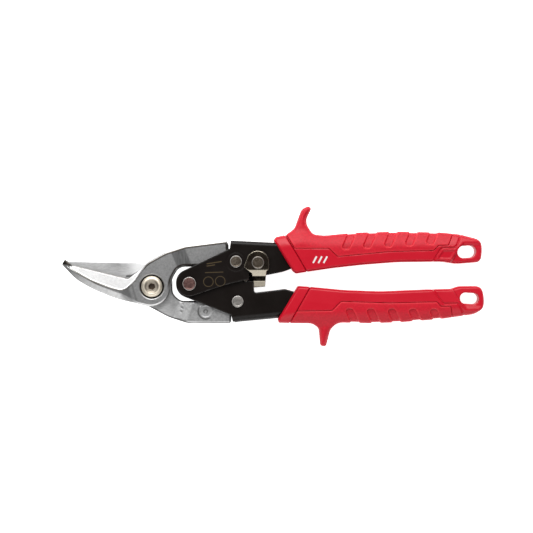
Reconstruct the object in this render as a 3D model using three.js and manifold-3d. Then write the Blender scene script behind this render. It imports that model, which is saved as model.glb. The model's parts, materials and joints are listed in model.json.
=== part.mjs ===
// Compound-action aviation snips, closed, lying flat. Millimetres, +Z up.
// +X runs from the jaws to the handle ends. The blades' common shear plane is level.
// The origin is on the main pivot's axis, in the plane that the snips rest on.
// Every outline is a list of corners [x, y, radius], each corner rounded by an arc.
import * as THREE from 'three';
import { mergeVertices } from 'three/addons/utils/BufferGeometryUtils.js';
import Module from 'manifold-3d';

const wasm = await Module();
wasm.setup();

// ---- Driving dimensions -------------------------------------------------
const GAP = 0.3; // running gap between neighbouring pieces
const SHEAR_PLANE_HEIGHT = 9; // shear plane above the rest plane

const HANDLE_PIVOT = [23.1, 1.8];
const UPPER_RIVET = [51.5, 15.3];
const LOWER_RIVET = [52.5, -9.1];
const LATCH_PIVOT = [64.9, 14.6];

const BLADE_FACE = 5; // outer face of a blade at the boss, from the shear plane
const BLADE_SHEAR_GAP = 0.15; // half the gap between the two blades
const TAIL_HALF = 2.4; // half thickness of a blade's tail
const TAIL_LOBE = 7; // radius of the tail around its rivet
const JOGGLE_ANGLE = 22.4 * Math.PI / 180; // lean of the step in the tail
const JOGGLE_START = 18.9; // along the leaning direction, from the pivot
const JOGGLE_END = 27.4;

const SHEET = 2; // handle plate thickness
const UPPER_HALF = 7.6; // half width over the upper handle's plates
const LOWER_HALF = 5.3; // half width over the lower handle's plates
const TANG_HALF = 4.6; // half width of both channels inside the grips
const NARROW_START = 75; // where the channels begin to narrow
const NARROW_END = 88;

const GRIP_HALF = 9; // half thickness of the grips by the guard
const GRIP_END_HALF = 7; // and at the hang hole
const GRIP_TAPER_START = 112;
const GRIP_END = 204;
const GRIP_BEVEL = 0.9;
const COLLAR_BEVEL = 0.6;
const TONGUE_HALF = 6.2; // half thickness of the hard core inside the soft cover
const SLOT_DEPTH = 0.6;
const SLOT_COUNT = 5;
const SLOT_PITCH = 12.85;
const SLOT_CORNER = 1.5;

const SLEEVE_RADIUS = 4.6; // pivot nut's sleeve
const COUNTERBORE_RADIUS = 7.4;
const COUNTERBORE_FLOOR = 3;
const BOLT_HEAD_RADIUS = 6.6;
const HANDLE_SHANK = 2.9; // rivet shank radii
const BLADE_SHANK = 2.6;
const LATCH_SHANK = 2.2;
const OPEN_PIVOT_CLEARANCE = 0.5; // radial, in the front blade's tail

const ARC_STEP = Math.PI / 14; // largest turn of one facet of an arc
const MIN_EDGE = 0.05; // shortest edge kept in an outline
const FAR = 260; // longer than the tool

// ---- Finishes -----------------------------------------------------------
const FINISH = {
  ground: { color: 0xa9abac, roughness: 0.38, metalness: 1 },
  forged: { color: 0x9b9d9d, roughness: 0.5, metalness: 1 },
  nickel: { color: 0xc9bda6, roughness: 0.22, metalness: 1 },
  rivet: { color: 0x6b5f59, roughness: 0.45, metalness: 1 },
  paleRivet: { color: 0x9c9187, roughness: 0.42, metalness: 1 },
  black: { color: 0x151313, roughness: 0.42, metalness: 0.1 },
  spring: { color: 0x77797b, roughness: 0.35, metalness: 1 },
  hardRed: { color: 0xc8192d, roughness: 0.4, metalness: 0 },
  softRed: { color: 0xcf2433, roughness: 0.62, metalness: 0 },
};

// ---- Outlines -----------------------------------------------------------
// How far each corner's arc reaches along its two edges, shortened where an edge is too short.
function tangentLengths(corners) {
  const count = corners.length;
  const at = (index) => new THREE.Vector2(...corners[(index + count) % count].slice(0, 2));
  const reach = corners.map((corner, index) => {
    const into = at(index).sub(at(index - 1)).normalize();
    const out = at(index + 1).sub(at(index)).normalize();
    return (corner[2] ?? 0) * Math.tan(Math.abs(Math.atan2(into.cross(out), into.dot(out))) / 2);
  });
  return reach.map((length, index) => {
    const before = at(index).distanceTo(at(index - 1)) / (length + reach[(index - 1 + count) % count] || 1);
    const after = at(index).distanceTo(at(index + 1)) / (length + reach[(index + 1) % count] || 1);
    return length * Math.min(1, before * 0.999, after * 0.999);
  });
}

// A closed shape from corners [x, y, radius].
function outline(corners) {
  const count = corners.length;
  const tangents = tangentLengths(corners);
  const points = [];
  corners.forEach(([x, y], index) => {
    const here = new THREE.Vector2(x, y);
    const [px, py] = corners[(index - 1 + count) % count];
    const [nx, ny] = corners[(index + 1) % count];
    const back = new THREE.Vector2(px, py).sub(here).normalize();
    const ahead = new THREE.Vector2(nx, ny).sub(here).normalize();
    const turn = Math.PI - Math.acos(THREE.MathUtils.clamp(back.dot(ahead), -1, 1));
    if (tangents[index] < 0.01 || turn < 0.02) {
      points.push(here);
      return;
    }
    const radius = tangents[index] / Math.tan(turn / 2);
    const centre = back.clone().add(ahead).setLength(radius / Math.cos(turn / 2)).add(here);
    const spoke = back.multiplyScalar(tangents[index]).add(here).sub(centre);
    const sweep = Math.sign(spoke.cross(here.clone().sub(centre))) * turn;
    const steps = Math.max(1, Math.ceil(turn / ARC_STEP));
    for (let step = 0; step <= steps; step += 1) {
      points.push(spoke.clone().rotateAround(new THREE.Vector2(), sweep * step / steps).add(centre));
    }
  });
  const distinct = points.filter((point, index) => point.distanceTo(points.at(index - 1)) > MIN_EDGE);
  return new THREE.Shape(distinct);
}

// The same corners moved outwards by a distance; the corners run counterclockwise.
function grow(corners, distance) {
  const count = corners.length;
  return corners.map(([x, y, radius], index) => {
    const [px, py] = corners[(index - 1 + count) % count];
    const [nx, ny] = corners[(index + 1) % count];
    const into = new THREE.Vector2(x - px, y - py).normalize();
    const out = new THREE.Vector2(nx - x, ny - y).normalize();
    const normal = new THREE.Vector2(into.y + out.y, -into.x - out.x);
    normal.multiplyScalar(distance / (1 + into.dot(out)));
    return [x + normal.x, y + normal.y, radius];
  });
}

// ---- Solids -------------------------------------------------------------
function solidOf(geometry) {
  geometry.deleteAttribute('normal');
  geometry.deleteAttribute('uv');
  const merged = mergeVertices(geometry, 1e-4);
  return new wasm.Manifold(new wasm.Mesh({
    numProp: 3,
    vertProperties: new Float32Array(merged.attributes.position.array),
    triVerts: new Uint32Array(merged.index.array),
  }));
}

function geometryOf(solid) {
  const mesh = solid.getMesh();
  const geometry = new THREE.BufferGeometry();
  geometry.setAttribute('position', new THREE.BufferAttribute(mesh.vertProperties, 3));
  geometry.setIndex(new THREE.BufferAttribute(mesh.triVerts, 1));
  geometry.computeVertexNormals();
  return geometry;
}

// A plate of the given corners between two heights.
function plate(corners, low, high, bevel = 0) {
  const geometry = new THREE.ExtrudeGeometry(outline(corners), {
    depth: high - low - 2 * bevel,
    bevelEnabled: bevel > 0,
    bevelSize: bevel,
    bevelThickness: bevel,
    bevelOffset: -bevel,
    bevelSegments: 2,
  });
  geometry.translate(0, 0, low + bevel);
  return solidOf(geometry);
}

// A bar whose [along, z] section is swept sideways; the bar's axis leans from +X by an angle.
function bar(section, lean = 0) {
  const geometry = new THREE.ExtrudeGeometry(outline(section), { depth: FAR, bevelEnabled: false });
  geometry.translate(0, 0, -FAR / 2);
  geometry.rotateX(Math.PI / 2);
  geometry.rotateZ(lean);
  return solidOf(geometry);
}

// A body of revolution about Z from [radius, z] points that start and end on the axis.
function turned(profile, sides = 28) {
  const points = profile.map(([radius, z]) => new THREE.Vector2(radius, z));
  const geometry = new THREE.LatheGeometry(points, sides);
  geometry.rotateX(Math.PI / 2);
  return solidOf(geometry);
}

function disc(radius, low, high, sides) {
  return turned([[0, low], [radius, low], [radius, high], [0, high]], sides);
}

const ring = (inner, outer, low, high) => disc(outer, low, high).subtract(disc(inner, low - 1, high + 1));

// A round tool at a place on the plane, for drilling.
function drill([x, y], radius, low = -FAR / 2, high = FAR / 2) {
  const geometry = new THREE.CylinderGeometry(radius, radius, high - low, 24);
  geometry.rotateX(Math.PI / 2);
  geometry.translate(x, y, (low + high) / 2);
  return solidOf(geometry);
}

// ---- Scene graph --------------------------------------------------------
const snips = new THREE.Group();
snips.name = 'aviation_snips';
snips.position.z = SHEAR_PLANE_HEIGHT;

function add(name, solid, finish, [x, y] = [0, 0]) {
  const mesh = new THREE.Mesh(geometryOf(solid), new THREE.MeshStandardMaterial(FINISH[finish]));
  mesh.name = name;
  mesh.position.set(x, y, 0);
  snips.add(mesh);
}

// ---- Blades -------------------------------------------------------------
const FRONT_BLADE = [
  [-53.2, 16, 0.5], [-54.9, 13.2, 0.9], [-46, 4.9, 25], [-36, -1, 45], [-22, -7.1, 60],
  [9, -14.6, 11.8], [12.1, 4.6, 13], [16.4, 12, 6], [30, 12.3, 4], [44.5, 8.3, 6],
  [58.5, 8.3, TAIL_LOBE], [58.5, 22.3, TAIL_LOBE], [46.8, 22.6, 0.5], [46.8, 25.6, 1.2],
  [45.6, 28.2, 1.2], [20, 25, 14], [8, 21, 22], [-3, 14.9, 12], [-8.2, 9.4, 10],
  [-14.8, 4.9, 2], [-49.6, 13.1, 2],
];
const REAR_BLADE = [
  [-52.4, 16.3, 0.6], [-53.9, 12.8, 0.8], [-14.2, 3.4, 2], [-13, -8, 6], [-2, -12.4, 4],
  [10, -18.8, 24], [21.5, -22.4, 12], [48.2, -22.6, 1.4], [48.6, -17, 0.6],
  [59.5, -16.1, TAIL_LOBE], [59.5, -2.1, TAIL_LOBE], [46, -4, 10], [27, -8.8, 4],
  [17, -9, 6], [12.2, -4.5, 6], [11.8, 11.8, 11], [-4, 14.2, 12], [-12, 15.4, 30],
];
const SCOOP = [
  [-51, 13.2, 1], [-50.5, 11.4, 1], [-38, 3.7, 40], [-28, -0.6, 40], [-18.8, -3, 7],
  [-10, 3.2, 14], [-5.5, 10.8, 12], [-4, 14, 0], [-14, 20, 0], [-50, 20, 0],
];
const SCOOP_EDGE = [-49.6, 13.1]; // a point on the cutting edge
const SCOOP_LEAN = Math.atan2(-8.2, 34.8); // the cutting edge's direction
const SCOOP_EDGE_HEIGHT = 1.3; // blade left under the scoop at the cutting edge
const SCOOP_RISE = 0.3; // rise of the scooped face per millimetre away from the edge

// The section of a blade along its leaning joggle, thick at the boss and centred at the tail.
function bladeSection(side) {
  const near = side * BLADE_SHEAR_GAP;
  const far = side * BLADE_FACE;
  return [
    [-FAR, near], [JOGGLE_START, near], [JOGGLE_END, -side * TAIL_HALF], [FAR, -side * TAIL_HALF],
    [FAR, side * TAIL_HALF], [JOGGLE_END, side * TAIL_HALF], [JOGGLE_START, far], [-FAR, far],
  ];
}

// The space above the front blade's hollow-ground face.
function scoopTool() {
  const geometry = new THREE.BoxGeometry(FAR, FAR, FAR);
  geometry.translate(0, 0, FAR / 2);
  geometry.rotateX(-Math.atan(SCOOP_RISE));
  geometry.rotateZ(SCOOP_LEAN);
  geometry.translate(SCOOP_EDGE[0], SCOOP_EDGE[1], SCOOP_EDGE_HEIGHT);
  return solidOf(geometry).intersect(plate(SCOOP, -FAR / 2, FAR / 2));
}

function frontBlade() {
  return plate(FRONT_BLADE, -BLADE_FACE, BLADE_FACE)
    .intersect(bar(bladeSection(1), JOGGLE_ANGLE))
    .subtract(scoopTool())
    .subtract(drill([0, 0], SLEEVE_RADIUS + GAP))
    .subtract(drill([0, 0], COUNTERBORE_RADIUS, COUNTERBORE_FLOOR))
    .subtract(drill(UPPER_RIVET, BLADE_SHANK + OPEN_PIVOT_CLEARANCE));
}

function rearBlade() {
  return plate(REAR_BLADE, -BLADE_FACE, BLADE_FACE)
    .intersect(bar(bladeSection(-1), -JOGGLE_ANGLE))
    .subtract(drill([0, 0], SLEEVE_RADIUS + GAP))
    .subtract(drill(LOWER_RIVET, BLADE_SHANK + GAP));
}

add('front_blade', frontBlade(), 'ground');
add('rear_blade', rearBlade(), 'forged');

// ---- Main pivot ---------------------------------------------------------
const WASHER_LOW = COUNTERBORE_FLOOR + GAP;
const WASHER_HIGH = WASHER_LOW + 0.8;
const HEAD_HEIGHT = 2;
const HEAD_DISH_RADIUS = 4; // the head is dished around its socket
const HEAD_DISH_FLOOR = 1.4;
const SHANK_OVERLAP = 0.5; // shank carried up into the head
const HEAD_LOW = WASHER_HIGH + GAP;
const BOLT_SHANK = 3.2;
const NUT_BORE_DEPTH = 7.4; // below the shear plane
const SOCKET_RADIUS = 2.1; // across the corners of the hex
const SOCKET_DEPTH = 2; // below the underside of the head
const FLANGE_RADIUS = 6.5;
const FLANGE_CHAMFER = 0.6;
const SLEEVE_TOP = WASHER_HIGH - 0.4;

function pivotBolt() {
  const head = turned([
    [0, HEAD_LOW], [BOLT_HEAD_RADIUS, HEAD_LOW], [BOLT_HEAD_RADIUS, HEAD_LOW + 0.8],
    [BOLT_HEAD_RADIUS - 0.5, HEAD_LOW + 1.4], [BOLT_HEAD_RADIUS - 1.8, HEAD_LOW + HEAD_HEIGHT],
    [HEAD_DISH_RADIUS, HEAD_LOW + HEAD_HEIGHT], [HEAD_DISH_RADIUS - 0.8, HEAD_LOW + HEAD_DISH_FLOOR],
    [0, HEAD_LOW + HEAD_DISH_FLOOR],
  ]);
  const shank = disc(BOLT_SHANK, GAP - NUT_BORE_DEPTH, HEAD_LOW + SHANK_OVERLAP, 24);
  const socket = disc(SOCKET_RADIUS, HEAD_LOW - SOCKET_DEPTH, HEAD_LOW + HEAD_HEIGHT + GAP, 6);
  return head.add(shank).subtract(socket);
}

function pivotNut() {
  const outside = turned([
    [0, -SHEAR_PLANE_HEIGHT], [FLANGE_RADIUS - FLANGE_CHAMFER, -SHEAR_PLANE_HEIGHT],
    [FLANGE_RADIUS, FLANGE_CHAMFER - SHEAR_PLANE_HEIGHT], [FLANGE_RADIUS, -BLADE_FACE - GAP],
    [SLEEVE_RADIUS, -BLADE_FACE - GAP], [SLEEVE_RADIUS, SLEEVE_TOP], [0, SLEEVE_TOP],
  ]);
  return outside.subtract(drill([0, 0], BOLT_SHANK + GAP, -NUT_BORE_DEPTH, FAR / 2));
}

add('pivot_bolt', pivotBolt(), 'nickel');
add('pivot_washer', ring(SLEEVE_RADIUS + GAP, COUNTERBORE_RADIUS - GAP, WASHER_LOW, WASHER_HIGH), 'black');
add('pivot_nut', pivotNut(), 'nickel');

// ---- Handle frames ------------------------------------------------------
const UPPER_PLATES = [
  [14.9, 7.6, 8.1], [14.9, -9, 8.1], [46, 1.4, 60], [70.5, 7, 40], [80, 8.9, 20], [88, 11.8, 4],
  [92, 14.6, 3], [164, 18, 3], [164, 26, 2], [90, 26.2, 20], [74.5, 26.9, 20], [48.3, 28.2, 0.6],
  [47.7, 23.2, 0.4],
];
const UPPER_CAVITY = [
  [-10, 26.2, 0], [-10, -60, 0], [200, -60, 0], [200, 23.9, 0], [90, 24.2, 10], [74.5, 24.9, 10],
  [48, 26.2, 0],
];
const LOWER_PLATES = [
  [14.8, 10.6, 8.3], [14.8, -4.3, 8.3], [48.5, -17.3, 0.6], [49.6, -22.3, 0.5], [53, -21.7, 6],
  [77.5, -19.4, 40], [90, -18.5, 10], [164, -15.6, 2], [164, -7.6, 3], [94, -5.8, 4],
  [87.6, -3.3, 4], [81.4, -1.5, 6], [76, -2.3, 16], [62.6, -3.9, 1.2], [60.4, 6.4, 1.4],
  [50, 8, 8],
];
const LOWER_CAVITY = [
  [-10, 60, 0], [-10, -20.3, 0], [49, -20.2, 0], [77.5, -17.4, 10], [90, -16.5, 10], [200, -12.2, 0],
  [200, 60, 0],
];
const LATCH_WINDOW = [
  [59.4, -9, 0], [70.6, -9, 0], [70.6, 8.7, 0.6], [66.6, 7.75, 2], [62.6, 8.1, 2], [59.4, 9.4, 0.6],
];
// Notches in the folded edges, which the blades' tails pass through as the jaws open.
const UPPER_RELIEF = [[45, 24.6, 0], [49.4, 24.6, 0], [49.4, 30, 0], [45, 30, 0]];
const LOWER_RELIEF = [[45, -25, 0], [50.6, -25, 0], [50.6, -19.4, 0], [45, -19.4, 0]];
// Room for the latch's hook in the lower handle's front plate.
const LATCH_NOTCH = [[59.3, 3.4, 0.3], [66, 3.4, 0], [66, 12, 0], [59.3, 12, 0]];
const KEEPER = [57.3, 4.2];
const KEEPER_RADIUS = 1.05;

// The [x, z] section of a channel that narrows towards the grip.
function channelSection(half, tangHalf) {
  return [
    [-FAR, -half, 0], [NARROW_START, -half, 12], [NARROW_END, -tangHalf, 12], [FAR, -tangHalf, 0],
    [FAR, tangHalf, 0], [NARROW_END, tangHalf, 12], [NARROW_START, half, 12], [-FAR, half, 0],
  ];
}

function channel(plates, cavity, half) {
  const outside = plate(plates, -half, half).intersect(bar(channelSection(half, TANG_HALF)));
  const inside = plate(cavity, -half, half).intersect(bar(channelSection(half - SHEET, TANG_HALF - SHEET)));
  return outside.subtract(inside);
}

function upperHandle() {
  return channel(UPPER_PLATES, UPPER_CAVITY, UPPER_HALF)
    .subtract(plate(LATCH_WINDOW, 0, FAR / 2))
    .subtract(plate(UPPER_RELIEF, -TAIL_HALF - GAP, TAIL_HALF + GAP))
    .subtract(drill(HANDLE_PIVOT, HANDLE_SHANK + GAP))
    .subtract(drill(UPPER_RIVET, BLADE_SHANK + GAP))
    .subtract(drill(LATCH_PIVOT, LATCH_SHANK + GAP));
}

function lowerHandle() {
  return channel(LOWER_PLATES, LOWER_CAVITY, LOWER_HALF)
    .subtract(plate(LOWER_RELIEF, -TAIL_HALF - GAP, TAIL_HALF + GAP))
    .subtract(plate(LATCH_NOTCH, 0, FAR / 2))
    .subtract(drill(HANDLE_PIVOT, HANDLE_SHANK + GAP))
    .subtract(drill(LOWER_RIVET, BLADE_SHANK + GAP))
    .subtract(drill(KEEPER, KEEPER_RADIUS + GAP, 0));
}

add('upper_handle_frame', upperHandle(), 'black');
add('lower_handle_frame', lowerHandle(), 'black');

// ---- Rivets, spacers and sleeve -----------------------------------------
const HEAD_THICKNESS = 0.8;
const HEAD_CHAMFER = 0.25;

// A rivet with a flat head on both sides of a stack between two heights.
function rivet(headRadius, shankRadius, low, high) {
  const bottom = low - HEAD_THICKNESS;
  const top = high + HEAD_THICKNESS;
  return turned([
    [0, bottom], [headRadius - HEAD_CHAMFER, bottom], [headRadius, bottom + HEAD_CHAMFER],
    [headRadius, low], [shankRadius, low], [shankRadius, high], [headRadius, high],
    [headRadius, top - HEAD_CHAMFER], [headRadius - HEAD_CHAMFER, top], [0, top],
  ]);
}

const UPPER_STACK = UPPER_HALF + GAP;
const LOWER_STACK = LOWER_HALF + GAP;
const SPRING_SLEEVE_RADIUS = 4;
const SPRING_SLEEVE_HALF = LOWER_HALF - SHEET - 0.35;
const SPACER_RADIUS = 5.2;
const HANDLE_HEAD = 4.1; // rivet head radii
const UPPER_HEAD = 3.6;
const LOWER_HEAD = 3.55;
const SPACER_LOW = TAIL_HALF + GAP;
const SPACER_HIGH = UPPER_HALF - SHEET - GAP;

const SPACER_BORE = BLADE_SHANK + GAP;
const spacer = (low, high) => ring(SPACER_BORE, SPACER_RADIUS, low, high);
const springSleeve = ring(
  HANDLE_SHANK + GAP, SPRING_SLEEVE_RADIUS, -SPRING_SLEEVE_HALF, SPRING_SLEEVE_HALF,
);

add('handle_rivet', rivet(HANDLE_HEAD, HANDLE_SHANK, -UPPER_STACK, UPPER_STACK), 'rivet', HANDLE_PIVOT);
add('upper_blade_rivet', rivet(UPPER_HEAD, BLADE_SHANK, -UPPER_STACK, UPPER_STACK), 'rivet', UPPER_RIVET);
add('lower_blade_rivet', rivet(LOWER_HEAD, BLADE_SHANK, -LOWER_STACK, LOWER_STACK), 'paleRivet', LOWER_RIVET);
add('upper_spacer_front', spacer(SPACER_LOW, SPACER_HIGH), 'rivet', UPPER_RIVET);
add('upper_spacer_rear', spacer(-SPACER_HIGH, -SPACER_LOW), 'rivet', UPPER_RIVET);
add('spring_sleeve', springSleeve, 'rivet', HANDLE_PIVOT);

// ---- Opening spring -----------------------------------------------------
const WIRE_RADIUS = 0.75;
const WIRE_HALF_SIDES = 4; // facets in half of the wire's round section
const COIL_RADIUS = 5.1;
const COIL_HALF_HEIGHT = 2;
const COIL_START = 93.4 * Math.PI / 180;
const COIL_SWEEP = (360 * 2 + 173.1) * Math.PI / 180;
const COIL_STEPS = 36;
const SPRING_STEPS = 56; // sections along the whole wire
const UPPER_LEG_END = [18.9, 6.1]; // from the handle pivot
const LOWER_LEG_END = [18.9, -5.75];

function torsionSpring() {
  const points = [new THREE.Vector3(...UPPER_LEG_END, COIL_HALF_HEIGHT)];
  for (let step = 0; step <= COIL_STEPS; step += 1) {
    const share = step / COIL_STEPS;
    const angle = COIL_START + COIL_SWEEP * share;
    const height = COIL_HALF_HEIGHT * (1 - 2 * share);
    points.push(new THREE.Vector3(COIL_RADIUS * Math.cos(angle), COIL_RADIUS * Math.sin(angle), height));
  }
  points.push(new THREE.Vector3(...LOWER_LEG_END, -COIL_HALF_HEIGHT));
  const wire = new THREE.Shape();
  wire.absarc(0, 0, WIRE_RADIUS, 0, 2 * Math.PI);
  const path = new THREE.CatmullRomCurve3(points, false, 'centripetal');
  return solidOf(new THREE.ExtrudeGeometry(wire, {
    steps: SPRING_STEPS,
    extrudePath: path,
    curveSegments: WIRE_HALF_SIDES,
    bevelEnabled: false,
  }));
}

add('torsion_spring', torsionSpring(), 'spring', HANDLE_PIVOT);

// ---- Lock ---------------------------------------------------------------
const LATCH = [
  [59.8, 21.8, 6.9], [56.3, 11.9, 0.5], [60, 8.9, 1], [61.2, 8, 0.8], [61.9, 1.1, 0.4],
  [59.2, 0.9, 0.3], [59.2, -0.9, 0.3], [69.2, -0.1, 0.4], [70.1, 9.4, 0.8], [71.6, 10.8, 1.2],
  [71.7, 21.8, 6.9],
];
const LATCH_SECTION = [ // [y, z]
  [40, 8.8, 0], [7.89, 8.8, 0.7], [4.99, 1.25, 1.6], [-5, 1.25, 0], [-5, 2.55, 0], [4.1, 2.55, 0.4],
  [7, 10.1, 2], [40, 10.1, 0],
];
const LATCH_FACE = 10.1;
const LATCH_BACK = 8.8;

function lockLatch() {
  return plate(LATCH, 0, LATCH_FACE + 1)
    .intersect(bar(LATCH_SECTION, Math.PI / 2))
    .subtract(drill(LATCH_PIVOT, LATCH_SHANK + GAP));
}

const LATCH_HEAD = 3.8; // radius of the head that lies on the latch
const LATCH_HEAD_HEIGHT = 1;
const LATCH_HEAD_DISH = 0.6; // height of the head inside its rim
const LATCH_TAIL_HEAD = 3.5; // radius of the head behind the channel

// The latch's rivet: its upper head lies on the latch, its lower one behind the channel.
function latchRivet() {
  const low = -UPPER_STACK;
  const bottom = low - HEAD_THICKNESS;
  const high = LATCH_FACE + GAP;
  const top = high + LATCH_HEAD_HEIGHT;
  const dish = high + LATCH_HEAD_DISH;
  return turned([
    [0, bottom], [LATCH_TAIL_HEAD - 0.3, bottom], [LATCH_TAIL_HEAD, bottom + 0.3],
    [LATCH_TAIL_HEAD, low], [LATCH_SHANK, low], [LATCH_SHANK, high], [LATCH_HEAD, high],
    [LATCH_HEAD, top - 0.3], [LATCH_HEAD - 0.3, top], [LATCH_HEAD - 0.6, top],
    [LATCH_HEAD - 0.9, dish], [0, dish],
  ]);
}

const KEEPER_LOW = 1;
const KEEPER_HEAD = KEEPER_RADIUS + GAP;
const KEEPER_SHOULDER = LOWER_HALF - SHEET - GAP; // under the lower handle's plate
const KEEPER_TOP = LOWER_HALF - 0.1;

// The stud that the latch's hook catches, seen through the lower handle's plate.
function latchKeeper() {
  return turned([
    [0, KEEPER_LOW], [KEEPER_HEAD, KEEPER_LOW], [KEEPER_HEAD, KEEPER_SHOULDER],
    [KEEPER_RADIUS, KEEPER_SHOULDER], [KEEPER_RADIUS, KEEPER_TOP], [0, KEEPER_TOP],
  ], 16);
}

add('lock_latch', lockLatch(), 'nickel');
const LATCH_WASHER_RADIUS = 5.2;
const latchWasher = ring(
  LATCH_SHANK + GAP, LATCH_WASHER_RADIUS, UPPER_HALF + GAP, LATCH_BACK - GAP,
);
add('latch_washer', latchWasher, 'rivet', LATCH_PIVOT);
add('latch_rivet', latchRivet(), 'rivet', LATCH_PIVOT);
add('latch_keeper', latchKeeper(), 'rivet', KEEPER);

// ---- Grips --------------------------------------------------------------
const UPPER_GRIP = {
  plates: UPPER_PLATES,
  half: UPPER_HALF,
  collar: [
    [74.2, 28.3, 1.2], [86.1, 9.3, 1.2], [88, 7.9, 1.5], [93.9, 8.8, 0], [94, 10.2, 0],
    [81.5, 31.2, 0], [75.8, 30.3, 1.6],
  ],
  body: [
    [82, 31.8, 0], [94.4, 10.4, 0], [94.5, 8.9, 0], [110, 11.2, 60], [128, 13.2, 60],
    [150, 14.9, 60], [178, 15.2, 20], [186, 13.8, 20], [201.2, 15, 3.6], [202.1, 21, 20],
    [201.8, 28.5, 5.5], [188.7, 32, 16], [176, 33.2, 30], [150, 33.7, 60], [124, 33, 50],
    [106, 31.2, 16], [98.4, 31.8, 5], [93.6, 39.6, 7], [97.6, 47.6, 1.5], [96.2, 49.6, 1.9],
    [91.6, 47.6, 5], [87.2, 35.4, 6],
  ],
  cover: [
    [81.5, 60, 0], [81.5, 33, 0], [87.2, 23.3, 0.4], [108, 23.3, 1], [113.4, 18.3, 1.4],
    [145, 21.3, 20], [171.9, 22, 0.8], [175, 25.1, 1], [181, 25.2, 1], [184.4, 33, 0], [184.4, 60, 0],
  ],
  tongue: [
    [90.6, 27.6, 2], [92.4, 16, 0], [168, 17, 0], [168, 28.6, 2],
  ],
  hole: { centre: [192.5, 21.2], reach: 2, radius: 3.75, tilt: 0.07 },
  slot: { bottom: [118.3, 22.8], rise: 0.8, top: 36, lean: 0.36, halfWidth: 2.6 },
};
const LOWER_GRIP = {
  plates: LOWER_PLATES,
  half: LOWER_HALF,
  collar: [
    [89.2, 0.3, 1.6], [76.9, -20.2, 1], [77.6, -22.2, 1], [83.9, -22.2, 0], [96.2, -0.9, 0],
    [95.6, -0.2, 0],
  ],
  body: [
    [97, -0.4, 0], [84.9, -21.3, 0], [85.1, -22.5, 0], [98, -22.5, 7], [102.2, -25.6, 4],
    [103, -36.4, 1.8], [106.6, -37, 1.6], [109.2, -26.4, 6], [113.4, -22, 8], [134, -22.5, 60],
    [152, -21.9, 60], [176, -20, 40], [197, -17, 10], [203.3, -13.4, 6], [203.4, -6, 20],
    [201.6, 0.3, 4.4], [188, 0.2, 8], [183, -1.5, 6], [168, -1.8, 20], [140, -3, 60], [118, -2.2, 60],
  ],
  cover: [
    [84, -22, 0], [84, -60, 0], [188.4, -60, 0], [182.6, -12.2, 1], [176.3, -12, 1], [174, -9.3, 0.8],
    [145, -10, 20], [115.5, -9, 1.4], [110, -14.6, 1], [88.8, -15, 0.4],
  ],
  tongue: [
    [95, -7, 0], [90, -18.8, 2], [168, -17.6, 2], [168, -8, 0],
  ],
  hole: { centre: [194.1, -7.3], reach: 2.4, radius: 3.4, tilt: -0.07 },
  slot: { bottom: [120.3, -13.5], rise: 0, top: -26, lean: 0.46, halfWidth: 2.5 },
};

const GRIP_SECTION = [
  [-FAR, -GRIP_HALF, 0], [GRIP_TAPER_START, -GRIP_HALF, 0], [GRIP_END, -GRIP_END_HALF, 0],
  [GRIP_END, GRIP_END_HALF, 0], [GRIP_TAPER_START, GRIP_HALF, 0], [-FAR, GRIP_HALF, 0],
];
const SLOT_SECTION = GRIP_SECTION.map(([x, z, radius]) => [x, z - Math.sign(z) * SLOT_DEPTH, radius]);

// A slot with round ends through the whole thickness, its centre line between two points.
function obround([x, y], reach, radius, tilt) {
  const corners = [
    [-reach - radius, -radius, radius], [reach + radius, -radius, radius],
    [reach + radius, radius, radius], [-reach - radius, radius, radius],
  ];
  return corners.map(([u, v, r]) => [
    x + u * Math.cos(tilt) - v * Math.sin(tilt),
    y + u * Math.sin(tilt) + v * Math.cos(tilt), r,
  ]);
}

// The finger slots: shallow leaning recesses in both faces of the soft cover.
function slots({ bottom, rise, top, lean, halfWidth }) {
  let all = null;
  for (let index = 0; index < SLOT_COUNT; index += 1) {
    const x = bottom[0] + index * SLOT_PITCH;
    const y = bottom[1] + index * rise;
    const shift = lean * Math.abs(top - y);
    const corners = [
      [x - halfWidth, y, SLOT_CORNER], [x + halfWidth, y, SLOT_CORNER],
      [x + halfWidth + shift, top, 0], [x - halfWidth + shift, top, 0],
    ];
    const tool = plate(top > y ? corners : corners.reverse(), -GRIP_HALF - 1, GRIP_HALF + 1);
    all = all ? all.add(tool) : tool;
  }
  return all.subtract(bar(SLOT_SECTION));
}

function addGrip(prefix, grip) {
  const taper = bar(GRIP_SECTION);
  const shell = plate(grip.body, -GRIP_HALF, GRIP_HALF, GRIP_BEVEL).intersect(taper);
  const coverSide = plate(grip.cover, -FAR, FAR);
  const coverSideGrown = plate(grow(grip.cover, GAP), -FAR, FAR);
  const tongue = plate(grip.tongue, -TONGUE_HALF, TONGUE_HALF);
  const tongueGrown = plate(grow(grip.tongue, GAP), -TONGUE_HALF - GAP, TONGUE_HALF + GAP);
  const frameSpace = plate(grow(grip.plates, GAP), -grip.half - GAP, grip.half + GAP)
    .intersect(bar(channelSection(grip.half + GAP, TANG_HALF + GAP)));
  const { centre, reach, radius, tilt } = grip.hole;
  const hangHole = plate(obround(centre, reach, radius, tilt), -FAR, FAR);
  const collar = plate(grip.collar, -GRIP_HALF, GRIP_HALF, COLLAR_BEVEL).subtract(frameSpace);
  const core = shell.subtract(coverSideGrown).add(tongue).subtract(frameSpace).subtract(hangHole);
  const cover = shell.intersect(coverSide).subtract(tongueGrown).subtract(frameSpace)
    .subtract(slots(grip.slot));
  add(`${prefix}_grip_collar`, collar, 'hardRed');
  add(`${prefix}_grip_core`, core, 'hardRed');
  add(`${prefix}_grip_cover`, cover, 'softRed');
}

addGrip('upper', UPPER_GRIP);
addGrip('lower', LOWER_GRIP);

export default snips;
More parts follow.
